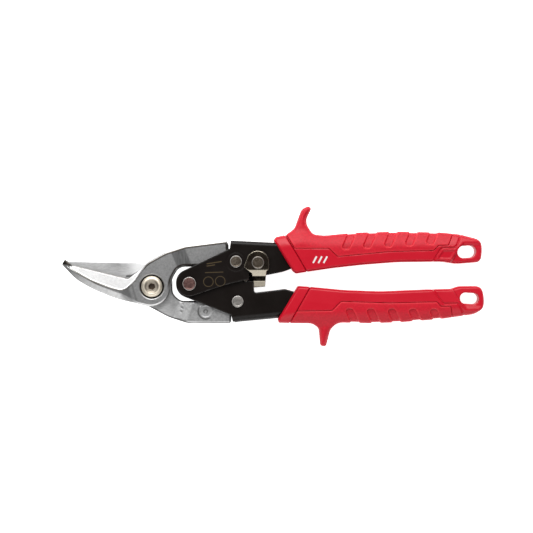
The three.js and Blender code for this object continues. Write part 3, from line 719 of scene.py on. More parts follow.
def front_masks(grid, edge, hollow, chamfer, slant):
    """Where the front blade is polished, where shade is painted along its corners and lips, and where darker
    shade is painted on its steps.
    """
    polish = np.where(hollow < 0, 0.3 * smooth(0, -0.3, hollow), 0.15 * smooth(-0.3, 0, chamfer))
    # Painted shade: dark lines along the hollow's lip, the chamfer's edge, the outer edge, the tip's facet
    # and the jaw's bevel.
    lip = smooth(0.75, 0.25, np.abs(hollow - 0.1)) * smooth(-3, -8, grid.x) * smooth(-53, -45, grid.x)
    rim = np.maximum(smooth(0.7, 0.35, np.abs(chamfer + 0.1)), 0.5 * smooth(-0.4, -0.1, edge))
    rim = rim * smooth(0, 0.6, hollow) * smooth(-3, 3, grid.y)
    outer = smooth(-0.55, -0.1, edge) * smooth(-1, 2, grid.x) * smooth(0, -4, grid.y)
    tip = smooth(0.4, -0.3, grid.flat(TIP_SHADE))
    bevel = smooth(-0.7, -0.3, edge) * smooth(0.3, -0.2, hollow) * smooth(-11, -15, grid.x)
    painted_shade = [0.85 * lip * smooth(-0.4, -1.2, edge), rim, 0.8 * outer, tip, 0.75 * bevel]
    # Painted shade on the joggle's step and on the jaw's shoulder, where those faces turn from the light.
    along = across_joggle(grid, 1)
    step = smooth(JOGGLE_START - 0.5, JOGGLE_START + 0.3, along)
    step = step * smooth(JOGGLE_END + 0.5, JOGGLE_END - 0.3, along)
    shoulder = 0.5 * smooth(1.0, 0.2, np.abs(slant))
    shoulder = shoulder + 0.6 * smooth(-1.6, -3.4, slant) * smooth(-9.5, -6.5, slant)
    step = (step + shoulder * smooth(0.3, 1.0, hollow)) * smooth(-0.9, -1.4, chamfer - CHAMFER_WIDTH)
    return {"polish": polish, "painted_shade": np.maximum.reduce(painted_shade), "step": step}


def front_blade():
    """The front blade: hollow-ground jaw, counterbored boss and joggled tail."""
    grid = Grid((-56, -13, -2.5), (59, 29, 5.1), FINE_STEP)
    edge = grid.flat(FRONT_BLADE)
    bottom, top = blade_heights(grid, 1)
    jaw = smooth(-7, -20, grid.x)
    slant = grid.x + SHOULDER_LEAN * grid.y - SHOULDER_X
    top = top - JAW_DROP * smooth(-1, 11, -slant)
    hollow = grid.flat(SCOOP)
    floor = SCOOP_FLOOR + SCOOP_LEAN * (SCOOP_TOP - grid.y)
    climb = ramp(-SCOOP_WALL, 0, hollow)
    scooped = floor + (top - floor) * (1 - np.sqrt(1 - climb * climb))
    chamfer = edge + CHAMFER_WIDTH + JAW_CHAMFER * jaw
    slope = CHAMFER_SLOPE + (JAW_CHAMFER_SLOPE - CHAMFER_SLOPE) * jaw
    top = np.where(hollow < 0, np.minimum(scooped, top), top - np.maximum(chamfer, 0) * slope)
    facet = TIP_HEIGHT + TIP_RISE[0] * (grid.x - TIP[0]) + TIP_RISE[1] * (grid.y - TIP[1])
    solid = slab(grid, edge, bottom, np.minimum(top, facet), 0.1, 0.3)
    solid = drilled(grid, solid, [
        (PIVOT, SLEEVE_RADIUS + GAP, -FAR), (PIVOT, COUNTERBORE, COUNTERBORE_FLOOR),
        (UPPER_RIVET, BLADE_SHANK + OPEN_PIVOT_CLEARANCE, -FAR),
    ], 0.25)
    masks = front_masks(grid, edge, hollow, chamfer, slant)
    piece = moulded("front_blade_forging", solid, grid, masks, rounds=4)
    attach(piece, "front_blade_body", GROUND, "front_blade")


EDGE_TIP = (-53.9, 12.8)  # the rear jaw's cutting edge starts here
EDGE_NORMAL = (0.2293, 0.973)
EDGE_THICKNESS = 1.3  # of the rear jaw at its edge
JAW_GROWTH = 0.42  # how much thicker the rear jaw gets, away from its edge
HEEL_LEAN = 0.11  # how the shear face falls outward beside the pivot
REAR_CHAMFER = 1.1
REAR_CHAMFER_SLOPE = 0.7
DIE_MARK = (32.8, -15.3)  # a raised ring round a sunk dot
DIE_RING = 3.9
DIE_DOT = 1.1
DIE_SHADE = 4.6
DIE_RELIEF = 0.15
DASHES = [(18.6, -10.6), (18.2, -13.0), (17.8, -15.4)]
DASH_DEPTH = 0.09
# Painted shadow under the jaw's raised part, beside the front blade.
JAW_SHADOW = [(-16.6, 5.6, 0), (-16.2, 7.0, 0), (-12, 7.6, 4), (-9, 9.4, 0), (-9, 5, 0)]


def rear_masks(grid, edge, jaw, tail, dot, dash):
    """Where the rear blade is polished, where shade is painted along its edges and round its marks, and where
    it is ground.
    """
    # Painted shade: dark lines along the lower and inner edges and underneath, on the lee side of the die
    # ring, in the sunk dot, beside the dashes and under the jaw's raised part.
    lower = smooth(-9, -11, grid.y) * smooth(29, 22, grid.x)
    inner = smooth(8, 10, grid.x) * smooth(-12, -10, grid.y)
    border = 0.97 * smooth(-0.95, -0.45, edge) * np.maximum(lower, inner)
    under = smooth(22, 29, grid.x) * smooth(-18, -20, grid.y)
    under = under * (0.3 * smooth(-1.3, -1, edge) + 0.6 * smooth(-0.6, -0.2, edge))
    lee = smooth(-0.5, 2.5, sum(DIE_MARK) - grid.x - grid.y)
    shade = smooth(0.7, 0.3, np.abs(grid.disc(DIE_MARK, DIE_SHADE))) * lee
    die = 0.75 * np.maximum(shade, smooth(0.6, 0.2, np.abs(dot)))
    jaw_shadow = 0.8 * smooth(0.1, -0.3, grid.flat(JAW_SHADOW))
    rim = smooth(-1.2, -0.9, edge)
    heel = smooth(-20, -9, grid.x) * smooth(2, -4, grid.x) * smooth(1, -1, edge)
    return {
        "polish": np.maximum.reduce([0.4 * rim * tail, 0.9 * heel, 0.9 * jaw * rim]),
        "painted_shade": np.maximum.reduce([border, under, die, 0.6 * smooth(0.7, 0.3, dash), jaw_shadow]),
        "ground": np.broadcast_to(smooth(8, 2, grid.x + 0.4 * grid.y), edge.shape),
    }


def rear_blade():
    """The rear blade: ground jaw, boss and as-forged joggled tail with a die mark and three dashes."""
    grid = Grid((-54, -23.5, -5.1), (60, 17, 2.5), FINE_STEP)
    edge = grid.flat(REAR_BLADE)
    bottom, top = blade_heights(grid, -1)
    jaw = smooth(-11, -17, grid.x)
    tail = smooth(14, 20, grid.x)
    from_edge = (grid.x - EDGE_TIP[0]) * EDGE_NORMAL[0] + (grid.y - EDGE_TIP[1]) * EDGE_NORMAL[1]
    ground = np.maximum(bottom, -(EDGE_THICKNESS + JAW_GROWTH * np.maximum(from_edge, 0)))
    bottom = bottom + (ground - bottom) * jaw
    heel = smooth(-20, -8, grid.x) * smooth(0, -4, grid.x)
    top = top - HEEL_LEAN * np.maximum(grid.y - 6, 0) * heel
    chamfer = np.maximum(edge + REAR_CHAMFER, 0) * REAR_CHAMFER_SLOPE
    top = top - chamfer * np.maximum(tail, 0.35 * jaw)
    bottom = bottom + chamfer * (1 - jaw)
    ring = np.abs(grid.disc(DIE_MARK, DIE_RING))
    dot = grid.disc(DIE_MARK, DIE_DOT)
    top = top + DIE_RELIEF * (smooth(0.75, 0.25, ring) - smooth(0.3, -0.3, dot))
    dash = np.minimum.reduce([
        np.hypot((grid.x - x) * 0.6, (grid.y - y) + 0.5 * (grid.x - x)) for x, y in DASHES
    ])
    top = top - DASH_DEPTH * smooth(0.9, 0.2, dash)
    solid = slab(grid, edge, bottom, top, 0.3, 0.35)
    holes = [(PIVOT, SLEEVE_RADIUS + GAP, -FAR), (LOWER_RIVET, BLADE_SHANK + GAP, -FAR)]
    solid = drilled(grid, solid, holes, 0.25)
    masks = rear_masks(grid, edge, jaw, tail, dot, dash)
    piece = moulded("rear_blade_forging", solid, grid, masks, rounds=4)
    attach(piece, "rear_blade_body", FORGED, "rear_blade")


# ---- Handle channels ----
STRUCK_RING = 5.6  # radius of the ring struck round the upper blade rivet
STRUCK_DEPTH = 0.14


def channel(name, body, plates, spine, half, bend, material, holes, cuts, struck=None):
    """A folded sheet channel: two plates joined by a spine with a rounded bend."""
    low = (min(c[0] for c in plates), min(c[1] for c in plates), -half)
    high = (TANG_END, max(c[1] for c in plates), half)
    grid = Grid(low, high, FINE_STEP)
    edge = grid.flat(plates)
    fold = grid.flat(spine)
    narrow = smooth(NARROW_START - 1, NARROW_END + 1, grid.x)
    outer = half + (TANG_HALF - half) * narrow
    across = np.abs(grid.z) - np.broadcast_to(outer, edge.shape)[..., None]
    outside = both(fold[..., None], across, bend)
    inside = both(fold[..., None] + SHEET, across + SHEET, max(bend - SHEET, 0.4))
    solid = both(outside, -inside, 0.35)
    solid = both(solid, edge[..., None], 0.4)
    if struck:
        ring = np.abs(grid.disc(*struck))
        solid = solid + STRUCK_DEPTH * smooth(0.5, 0.1, ring)[..., None] * (grid.z > 0)
    solid = drilled(grid, solid, holes, 0.2)
    for corners, low_z, high_z in cuts:
        cut = np.maximum(grid.flat(corners)[..., None], np.maximum(low_z - grid.z, grid.z - high_z))
        solid = both(solid, -cut, 0.25)
    # Where the coat shows wear and a painted highlight along the plates' edges.
    masks = {"edge": smooth(-0.75, -0.25, np.minimum(edge, 9.0))}
    piece = moulded(name, solid, grid, masks)
    attach(piece, body, material, name.replace("_channel", "_handle_frame"))


def handles():
    """Both handle channels with their bores, the latch's window and notch and the tails' reliefs."""
    relief = TAIL_HALF + GAP
    channel(
        "upper_channel", "upper_handle", UPPER_PLATES, UPPER_SPINE, UPPER_HALF, UPPER_BEND,
        PRINTED_BLACK,
        holes=[(HANDLE_PIVOT, HANDLE_SHANK + GAP, -FAR), (UPPER_RIVET, BLADE_SHANK + GAP, -FAR),
               (LATCH_PIVOT, LATCH_SHANK + GAP, -FAR)],
        cuts=[(LATCH_WINDOW, 0, FAR), (UPPER_RELIEF, -relief, relief)],
        struck=(UPPER_RIVET, STRUCK_RING),
    )
    channel(
        "lower_channel", "lower_handle", LOWER_PLATES, LOWER_SPINE, LOWER_HALF, LOWER_BEND,
        BLACK,
        holes=[(HANDLE_PIVOT, HANDLE_SHANK + GAP, -FAR), (LOWER_RIVET, BLADE_SHANK + GAP, -FAR),
               (KEEPER, KEEPER_SHANK + GAP, 0)],
        cuts=[(LOWER_RELIEF, -relief, relief), (LATCH_NOTCH, 0, FAR)],
    )


# ---- Turned pieces ----
PROFILE_STEP = 0.25
TURNED_SIDES = 96
HEAD = 0.8  # height of a rivet's flat head
HANDLE_HEAD = 4.1  # the rivet heads' radii
UPPER_HEAD = 3.6
LOWER_HEAD = 3.55
LATCH_HEAD = 3.8
LATCH_TAIL = 3.5
KEEPER_HEAD = 1.35
SPACER = 5.2  # outer radius of the spacers and the latch's washer
LATCH_WASHER = 0.6
SPRING_SLEEVE = 4.0
SPRING_SLEEVE_HALF = 2.95


def turned(name, place, corners, rim=None):
    """A body of revolution from a closed profile of corners radius, height, rounding.

    A rim is the radius where the painted highlight starts, the one where it is full, and how bright it is.
    """
    profile = outline(corners)
    points = []
    for (ra, za), (rb, zb) in zip(profile, np.roll(profile, -1, 0)):
        if max(ra, rb) < 1e-6:
            continue
        steps = max(1, math.ceil(math.hypot(rb - ra, zb - za) / PROFILE_STEP))
        points += [(ra + (rb - ra) * k / steps, za + (zb - za) * k / steps) for k in range(steps)]
    closed = min(radius for radius, _ in points) > 1e-6
    if not closed:
        start = next(i for i, (radius, _) in enumerate(points) if radius < 1e-6)
        points = points[start + 1:] + points[:start + 1]
        points = [p for p in points if p[0] > 1e-6]
    radii, heights = np.array(points).T
    angles = np.arange(TURNED_SIDES) * 2 * math.pi / TURNED_SIDES
    x = place[0] + np.outer(radii, np.cos(angles))
    y = place[1] + np.outer(radii, np.sin(angles))
    z = np.repeat(heights[:, None], TURNED_SIDES, 1)
    vertices = np.stack([x, y, z], 2).reshape(-1, 3)
    number = np.arange(len(vertices)).reshape(len(points), TURNED_SIDES)
    if closed:
        number = np.concatenate([number, number[:1]])
    faces = ring_faces(number)
    if not closed:
        ends = ((number[0], heights[0], True), (number[-1], heights[-1], False))
        for ring_numbers, height, flip in ends:
            vertices = np.concatenate([vertices, [(*place, height)]])
            hub = len(vertices) - 1
            for a, b in zip(ring_numbers, np.roll(ring_numbers, -1)):
                faces.append(np.array((b, a, hub) if flip else (a, b, hub)))
    piece = new_mesh(name, vertices, faces)
    if rim:
        start, full, shine = rim
        reach = np.hypot(vertices[:, 0] - place[0], vertices[:, 1] - place[1])
        keep(piece, "rim", shine * smooth(start, full, reach))
    return piece


def rim_highlight(radius):
    """The painted highlight on a head's rim."""
    return radius - 0.55, radius - 0.2, 0.8


def rivet(name, place, head, shank, stack, body, material):
    """A flush rivet: two low heads with rounded rims and a shallow upset dish."""
    top = stack + HEAD
    piece = turned(name, place, [
        (0, -top, 0), (head, -top, 0.3), (head, -stack, 0.1), (shank, -stack, 0), (shank, stack, 0),
        (head, stack, 0.1), (head, top, 0.3), (head - 0.75, top, 0.3), (head - 1.1, top - 0.12, 0.3),
        (0, top - 0.05, 0),
    ], rim_highlight(head))
    attach(piece, body, material, name)


def rivets():
    """The three rivets that hold the handles and the blades' tails."""
    upper = UPPER_HALF + GAP
    lower = LOWER_HALF + GAP
    rivet("handle_rivet", HANDLE_PIVOT, HANDLE_HEAD, HANDLE_SHANK, upper, "lower_handle", RED_RIVET)
    rivet("upper_blade_rivet", UPPER_RIVET, UPPER_HEAD, BLADE_SHANK, upper, "upper_handle",
          DARK_RIVET)
    rivet("lower_blade_rivet", LOWER_RIVET, LOWER_HEAD, BLADE_SHANK, lower, "lower_handle",
          PALE_RIVET)


def collars():
    """The spacers beside the upper tail, the spring's sleeve and the latch's washer."""
    bore_on_blade = BLADE_SHANK + GAP
    tail = TAIL_HALF + GAP
    wall = UPPER_HALF - SHEET - GAP
    face = UPPER_HALF + GAP
    for name, place, bore, radius, low, high, body in (
        ("upper_spacer_front", UPPER_RIVET, bore_on_blade, SPACER, tail, wall, "upper_handle"),
        ("upper_spacer_rear", UPPER_RIVET, bore_on_blade, SPACER, -wall, -tail, "upper_handle"),
        ("spring_sleeve", HANDLE_PIVOT, HANDLE_SHANK + GAP, SPRING_SLEEVE, -SPRING_SLEEVE_HALF,
         SPRING_SLEEVE_HALF, "lower_handle"),
        ("latch_washer", LATCH_PIVOT, LATCH_SHANK + GAP, SPACER, face, face + LATCH_WASHER, "upper_handle"),
    ):
        piece = turned(name + "_ring", place, [
            (bore, low, 0.1), (radius, low, 0.2), (radius, high, 0.2), (bore, high, 0.1),
        ], rim_highlight(radius))
        attach(piece, body, DARK_RIVET, name)


def lock_pins():
    """The latch's rivet, dished on its head, and the keeper stud that the latch hooks."""
    low = -UPPER_HALF - GAP
    high = LATCH_FACE + GAP
    # The pin's head gets a faint painted highlight on its rim.
    piece = turned("latch_pin", LATCH_PIVOT, [
        (0, low - HEAD, 0), (LATCH_TAIL, low - HEAD, 0.3), (LATCH_TAIL, low, 0.1),
        (LATCH_SHANK, low, 0), (LATCH_SHANK, high, 0), (LATCH_HEAD, high, 0.15),
        (LATCH_HEAD, high + 1, 0.35), (3.15, high + 1, 0.3), (2.95, high + 0.62, 0.2),
        (0, high + 0.66, 0),
    ], (3.05, 3.3, 0.3))
    attach(piece, "upper_handle", LATCH_RIVET, "latch_rivet")
    piece = turned("keeper_stud", KEEPER, [
        (0, 1, 0), (KEEPER_HEAD, 1, 0.25), (KEEPER_HEAD, 3, 0.1), (KEEPER_SHANK, 3, 0),
        (KEEPER_SHANK, 5.2, 0.15), (0, 5.2, 0),
    ], rim_highlight(KEEPER_HEAD))
    attach(piece, "lower_handle", DARK_RIVET, "latch_keeper")


# ---- Main pivot ----
WASHER = 0.8  # the washer's thickness
HEAD_SEAT = COUNTERBORE_FLOOR + GAP + WASHER + GAP
BOLT_HEAD = 6.45
BOLT_SHANK = 3.2
BOLT_END = -7.1
HEAD_TOP = HEAD_SEAT + 2.0
HEAD_DISH = HEAD_SEAT + 1.15  # height of the dish's floor
HEX_HALF = 1.9  # half the socket's width across flats
HEX_FLOOR = HEAD_SEAT - 1.2
NUT_FLANGE = 6.5
NUT_BORE = 3.5
NUT_BORE_END = -7.4


def pivot_bolt():
    """The domed and dished bolt head with its hex socket, and the shank."""
    grid = Grid((-BOLT_HEAD, -BOLT_HEAD, BOLT_END), (BOLT_HEAD, BOLT_HEAD, HEAD_TOP), SMALL_STEP)
    reach = grid.disc(PIVOT, 0)
    profile = outline([
        (-5, HEAD_SEAT, 0), (BOLT_HEAD, HEAD_SEAT, 0.25), (BOLT_HEAD, HEAD_SEAT + 0.9, 0.5),
        (BOLT_HEAD - 1.2, HEAD_TOP, 1.6), (4.4, HEAD_TOP, 0.5), (3.1, HEAD_DISH, 0.4), (-5, HEAD_DISH, 0),
    ])
    head = inside_of(profile, reach[..., None], grid.z)
    shank = both(reach[..., None] - BOLT_SHANK, BOLT_END - grid.z, 0.4)
    solid = np.minimum(head, np.maximum(shank, grid.z - HEAD_SEAT - 0.5))
    hexagon = np.maximum.reduce([
        np.abs(grid.x * math.cos(turn) + grid.y * math.sin(turn)) for turn in np.radians((15, 75, 135))
    ]) - HEX_HALF
    solid = both(solid, -np.maximum(hexagon[..., None], HEX_FLOOR - grid.z), 0.18)
    bowl = 0.55 * smooth(4.5, 4.1, reach)
    deep = 0.95 * smooth(0.15, -0.05, hexagon)

    def painted_shade(vertices):
        """Painted shade in the dish, and darker painted shade inside the socket below the dish's floor."""
        below = smooth(HEAD_DISH, HEAD_DISH - 0.25, vertices[:, 2])
        return np.maximum(grid.sample(bowl, vertices), grid.sample(deep, vertices) * below)

    piece = moulded("pivot_bolt_head", solid, grid, {"painted_shade": painted_shade}, rounds=1)
    attach(piece, "rear_blade_body", CHAMPAGNE, "pivot_bolt")


def pivot_washer_and_nut():
    """The washer in the counterbore, and the sleeve nut with its closed flange."""
    floor_height = COUNTERBORE_FLOOR + GAP
    bore = SLEEVE_RADIUS + GAP
    rim = COUNTERBORE - GAP
    piece = turned("pivot_washer_ring", PIVOT, [
        (bore, floor_height, 0.1), (rim, floor_height, 0.15), (rim, floor_height + WASHER, 0.2),
        (bore, floor_height + WASHER, 0.1),
    ])
    attach(piece, "rear_blade_body", BLACK, "pivot_washer")
    flange = -BLADE_FACE - GAP
    top = HEAD_SEAT - 0.7
    piece = turned("pivot_nut_flange", PIVOT, [
        (NUT_BORE, NUT_BORE_END, 0), (NUT_BORE, top, 0.1), (SLEEVE_RADIUS, top, 0.2),
        (SLEEVE_RADIUS, flange, 0.15), (NUT_FLANGE, flange, 0.2), (NUT_FLANGE, FLOOR, 0.7),
        (3.6, FLOOR, 0.4), (2.6, FLOOR + 0.5, 0.2), (0, FLOOR + 0.5, 0), (0, NUT_BORE_END, 0),
    ])
    attach(piece, "rear_blade_body", CHAMPAGNE, "pivot_nut")


# ---- Lock ----
def latch():
    """The stamped latch: a domed shield, a bend and a hook's web."""
    grid = Grid((56.5, -0.9, 0.4), (71.7, 21.9, LATCH_FACE), SMALL_STEP)
    shape = grid.flat(LATCH)
    section = inside_of(outline(LATCH_SECTION), grid.y.T, grid.z[0])
    solid = both(shape[..., None], section[None, ...], 0.32)
    solid = drilled(grid, solid, [(LATCH_PIVOT, LATCH_SHANK + GAP, -FAR)], 0.15)
    # Painted shade: the shield's face, the wall below the bend and the foot's edge are darkened.
    shield = 0.85 * smooth(-0.15, -0.5, shape) * smooth(10.0, 10.8, grid.y)
    wall = 0.35 * smooth(6.7, 6.1, grid.y) * smooth(3.1, 3.5, grid.y)
    foot = 0.85 * smooth(0.15, -0.1, grid.y)
    painted_shade = np.maximum(shield, np.maximum(wall, foot))
    piece = moulded("latch_shield", solid, grid, {"painted_shade": painted_shade}, rounds=1)
    attach(piece, "latch_body", NICKEL, "lock_latch")


# ---- Opening spring ----
COIL = 5.1  # radius of the coil's middle line
COIL_HALF_HEIGHT = 2.0
COIL_START = math.radians(93.4)
COIL_SWEEP = math.radians(893.1)  # about two and a half turns
COIL_STEPS = 140
LEG = 18.9  # the legs' length
LEG_ROOT = 5.25  # how far from the rivet's axis the legs leave the coil
UPPER_LEG_END = 6.1
LOWER_LEG_END = 5.75
LEG_STEPS = 24
WIRE_RADIUS = 0.75
WIRE_SIDES = 16


def tube(name, centres, radius):
    """A round wire along a line of points, with closed ends."""
    centres = np.array(centres, float)
    ahead = np.gradient(centres, axis=0)
    ahead /= np.linalg.norm(ahead, axis=1)[:, None]
    side = np.cross(ahead, (0, 0, 1))
    side /= np.linalg.norm(side, axis=1)[:, None]
    up = np.cross(side, ahead)
    angles = np.arange(WIRE_SIDES) * 2 * math.pi / WIRE_SIDES
    spokes = side[:, None] * np.cos(angles)[:, None] + up[:, None] * np.sin(angles)[:, None]
    vertices = (centres[:, None] + radius * spokes).reshape(-1, 3)
    number = np.arange(len(vertices)).reshape(-1, WIRE_SIDES)
    return new_mesh(name, vertices, ring_faces(number) + [number[0][::-1], number[-1]])


def spring():
    """The torsion spring between the handles: a coil and two legs."""
    shares = np.linspace(0, 1, COIL_STEPS + 1)
    angles = COIL_START + COIL_SWEEP * shares
    turns = np.stack([
        COIL * np.cos(angles), COIL * np.sin(angles), COIL_HALF_HEIGHT * (1 - 2 * shares),
    ], 1)
    z = COIL_HALF_HEIGHT
    upper_leg = np.linspace((LEG, UPPER_LEG_END, z), (0, LEG_ROOT, z), LEG_STEPS + 1)
    lower_leg = np.linspace((0, -LEG_ROOT, -z), (LEG, -LOWER_LEG_END, -z), LEG_STEPS + 1)
    line = np.concatenate([upper_leg[:-1], turns, lower_leg[1:]]) + (*HANDLE_PIVOT, 0)
    for _ in range(3):
        line[1:-1] = (line[:-2] + 2 * line[1:-1] + line[2:]) / 4
    piece = tube("torsion_spring_wire", line, WIRE_RADIUS)
    piece.data.materials.append(WIRE)
    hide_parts("torsion_spring")
    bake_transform(piece)


# ---- Grips ----
UPPER_GRIP = SimpleNamespace(
    name="upper",
    side=1,  # +1 where the outer side is toward +Y
    silhouette=[
        (74.2, 28.3, 1.2), (86.1, 9.3, 1.2), (88, 7.9, 1.5), (94.3, 8.9, 8), (110, 11.2, 60),
        (128, 13.2, 60), (150, 14.9, 60), (178, 15.2, 20), (186, 13.8, 20), (201.2, 15, 3.6),
        (202.1, 21, 20), (201.8, 28.5, 5.5), (188.7, 32, 16), (176, 33.2, 30), (150, 33.7, 60),
        (124, 33, 50), (106, 31.2, 16), (98.4, 31.8, 5), (93.6, 39.6, 7), (97.6, 47.6, 1.5),
        (96.2, 49.6, 1.9), (91.6, 47.6, 5), (87.2, 35.4, 6), (82, 31.7, 4), (75.8, 30.3, 1.6),
    ],
    groove=((81.6, 31.3), (94.1, 10.2)),
    cover=[
        (70, 60, 0), (81.5, 33, 0), (87.2, 23.3, 0.4), (108, 23.3, 1), (113.4, 18.3, 1.4),
        (145, 21.3, 20), (171.9, 22, 0.8), (175, 25.1, 1), (181, 25.2, 1), (184.4, 33, 0), (184.4, 60, 0),
    ],
    facet=[(74, 24.8), (92, 27.6), (104, 26.2), (150, 26.4), (180, 26.2), (205, 25.2)],
    horn=(31.5, 49.5),
    hole=((192.45, 21.25), 2.0, 3.75, 0.07),
    ramp_line=((182.5, 15), (186.5, 21)),
    recess_edge=26.0,
    end_groove=[(171.8, 15.2), (173.5, 18.5), (176.5, 23), (177.5, 23.7), (184.8, 23.6), (186.5, 25.5),
                (189.2, 32)],
    slot_start=(117.8, 22.7), slot_rise=0.75, slot_top=36, slot_leans=(0.45, 0.47),
    low=(74, 7.7), high=(202.3, 49.8),
)
LOWER_GRIP = SimpleNamespace(
    name="lower",
    side=-1,
    silhouette=[
        (89.2, 0.3, 1.6), (76.9, -20.2, 1), (77.6, -22.2, 1), (84.5, -22.4, 2), (98, -22.5, 7),
        (102.2, -25.6, 4), (103, -36.4, 1.8), (106.6, -37, 1.6), (109.2, -26.4, 6), (113.4, -22, 8),
        (134, -22.5, 60), (152, -21.9, 60), (176, -20, 40), (197, -17, 10), (203.3, -13.4, 6),
        (203.4, -6, 20), (201.6, 0.3, 4.4), (188, 0.2, 8), (183, -1.5, 6), (168, -1.8, 20),
        (140, -3, 60), (118, -2.2, 60), (96.4, -0.2, 8),
    ],
    groove=((84.9, -21.2), (96.6, -0.7)),
    cover=[
        (76, -22, 0), (84, -60, 0), (190, -60, 0), (182.6, -12.2, 1), (176.3, -12, 1), (174, -9.3, 0.8),
        (145, -10, 20), (115.5, -9, 1.4), (110, -14.6, 1), (86, -15, 0.4),
    ],
    facet=[(76, -17.6), (90, -16.6), (104, -17), (150, -16), (180, -14.6), (205, -12.4)],
    horn=(-22.5, -37),
    hole=((194.1, -7.3), 2.4, 3.42, -0.07),
    ramp_line=((183.3, -1.5), (188, -8.3)),
    recess_edge=-12.6,
    end_groove=[(171.8, -1.6), (174, -5.5), (178, -10.1), (179, -10.4), (186.5, -10.2), (188, -12),
                (191.2, -18.2)],
    slot_start=(119.95, -13.4), slot_rise=-0.05, slot_top=-26, slot_leans=(0.46, 0.53),
    low=(76.7, -37.2), high=(203.6, 0.5),
)
CROWN_REACH = 9.0  # the face falls a little from this far inside the outline
CROWN_SLOPE = 0.05
FACET_SLOPE = 0.5
HORN_DROP = 1.4
BEVEL = 1.3
BEVEL_SLOPE = 0.85
HORN_BEVEL = 2.6
HORN_BEVEL_SLOPE = 0.75
SLOTS = 5
SLOT_PITCH = 12.85
SLOT_HALF = 2.45  # half a slot's width at its inner end
SLOT_CORNER = 1.7
FACET_BLEND = 2.6  # how far the broad chamfer rounds into the flat
HORN_FALL = 6.6  # how far out the chamfer stops falling, on the horn
HORN_BLEND = 1.6
SKIN = 1.6  # thickness of the soft cover
SEAM = 0.09  # half the gap between a grip's pieces
RECESS = 1.7  # depth of the flat round the hang hole
PANEL = [(174.9, 17.4, 0.5), (182.2, 17.2, 0.5), (184.9, 21.8, 0.5), (177.9, 21.8, 0.5)]
PANEL_DEPTH = 0.55


def rounded_slot(grid, hole):
    """The field of a slot with round ends."""
    (x, y), reach, radius, tilt = hole
    u = (grid.x - x) * math.cos(tilt) + (grid.y - y) * math.sin(tilt)
    v = (grid.y - y) * math.cos(tilt) - (grid.x - x) * math.sin(tilt)
    return np.hypot(u - np.clip(u, -reach, reach), v) - radius


def beyond(grid, line):
    """Signed distance past a line, positive on its left as it runs."""
    (ax, ay), (bx, by) = line
    length = math.hypot(bx - ax, by - ay)
    return ((grid.y - ay) * (bx - ax) - (grid.x - ax) * (by - ay)) / length


def eased(value, blend):
    """0 below zero and the value above it, with a curve between."""
    return np.clip(value + blend, 0, 2 * blend) ** 2 / (4 * blend) + np.maximum(value - blend, 0)


def finger_slots(grid, grip):
    """The field of the finger slots, which widen toward the outer edge."""
    left_lean, right_lean = grip.slot_leans
    fields = []
    for index in range(SLOTS):
        left = grip.slot_start[0] + index * SLOT_PITCH - SLOT_HALF
        right = left + 2 * SLOT_HALF
        y = grip.slot_start[1] + index * grip.slot_rise
        away = abs(grip.slot_top - y)
        fields.append(grid.flat([
            (left, y, SLOT_CORNER), (right, y, SLOT_CORNER),
            (right + right_lean * away, grip.slot_top, 0), (left + left_lean * away, grip.slot_top, 0),
        ]))
    return np.minimum.reduce(fields)


def past_facet(grid, grip):
    """How far out each place is from the line where a grip's broad outer chamfer begins."""
    return grip.side * (grid.y - np.interp(grid.x, *np.array(grip.facet).T))


def grip_shell(grid, grip, slots):
    """The whole grip's field, with its broad outer chamfer, horn, grooves, recess and hang slot."""
    edge = grid.flat(grip.silhouette)
    half = GRIP_HALF - (GRIP_HALF - GRIP_END_HALF) * ramp(GRIP_TAPER_START, GRIP_END, grid.x)
    across = past_facet(grid, grip)
    up_horn = ramp(0, 1, (grid.y - grip.horn[0]) / (grip.horn[1] - grip.horn[0]))
    leaning = eased(across, FACET_BLEND)
    leaning = leaning - eased(leaning - HORN_FALL, HORN_BLEND)
    on_horn = smooth(0, 0.6, up_horn)
    bevel = np.maximum(edge + BEVEL, 0) * BEVEL_SLOPE * (1 - on_horn) * smooth(3, 0, across)
    horn_bevel = np.maximum(edge + HORN_BEVEL, 0) * HORN_BEVEL_SLOPE * on_horn
    crown = CROWN_SLOPE * np.maximum(edge + CROWN_REACH, 0)
    top = half - crown - FACET_SLOPE * leaning - HORN_DROP * up_horn - bevel - horn_bevel
    past = -beyond(grid, grip.ramp_line) * grip.side
    inside_recess = -grip.side * (grid.y - grip.recess_edge)
    hollow = smooth(-0.9, 0.9, past) * smooth(-2.2, 1.6, inside_recess)
    top = top - RECESS * hollow
    if grip is UPPER_GRIP:
        top = top - PANEL_DEPTH * smooth(0.25, -0.25, grid.flat(PANEL))
    for depth, inset, place in (  # the parting line, the groove round the end and the finger slots
        (0.4, 0.25, smooth(0.5, 0.15, np.abs(beyond(grid, grip.groove)))),
        (0.75, 0.35, smooth(0.62, 0.2, near_line(grip.end_groove, grid.x, grid.y))),
        (1.0, 0.6, smooth(0.24, -0.24, slots)),
    ):
        top = top - depth * place
        edge = edge + inset * place
    rounding = 0.9 + 1.1 * np.broadcast_to(smooth(0, 3, across), edge.shape) * (1 - 0.4 * on_horn)
    solid = both(edge[..., None], np.abs(grid.z) - top[..., None], rounding[..., None])
    return both(solid, -rounded_slot(grid, grip.hole)[..., None], 0.7)


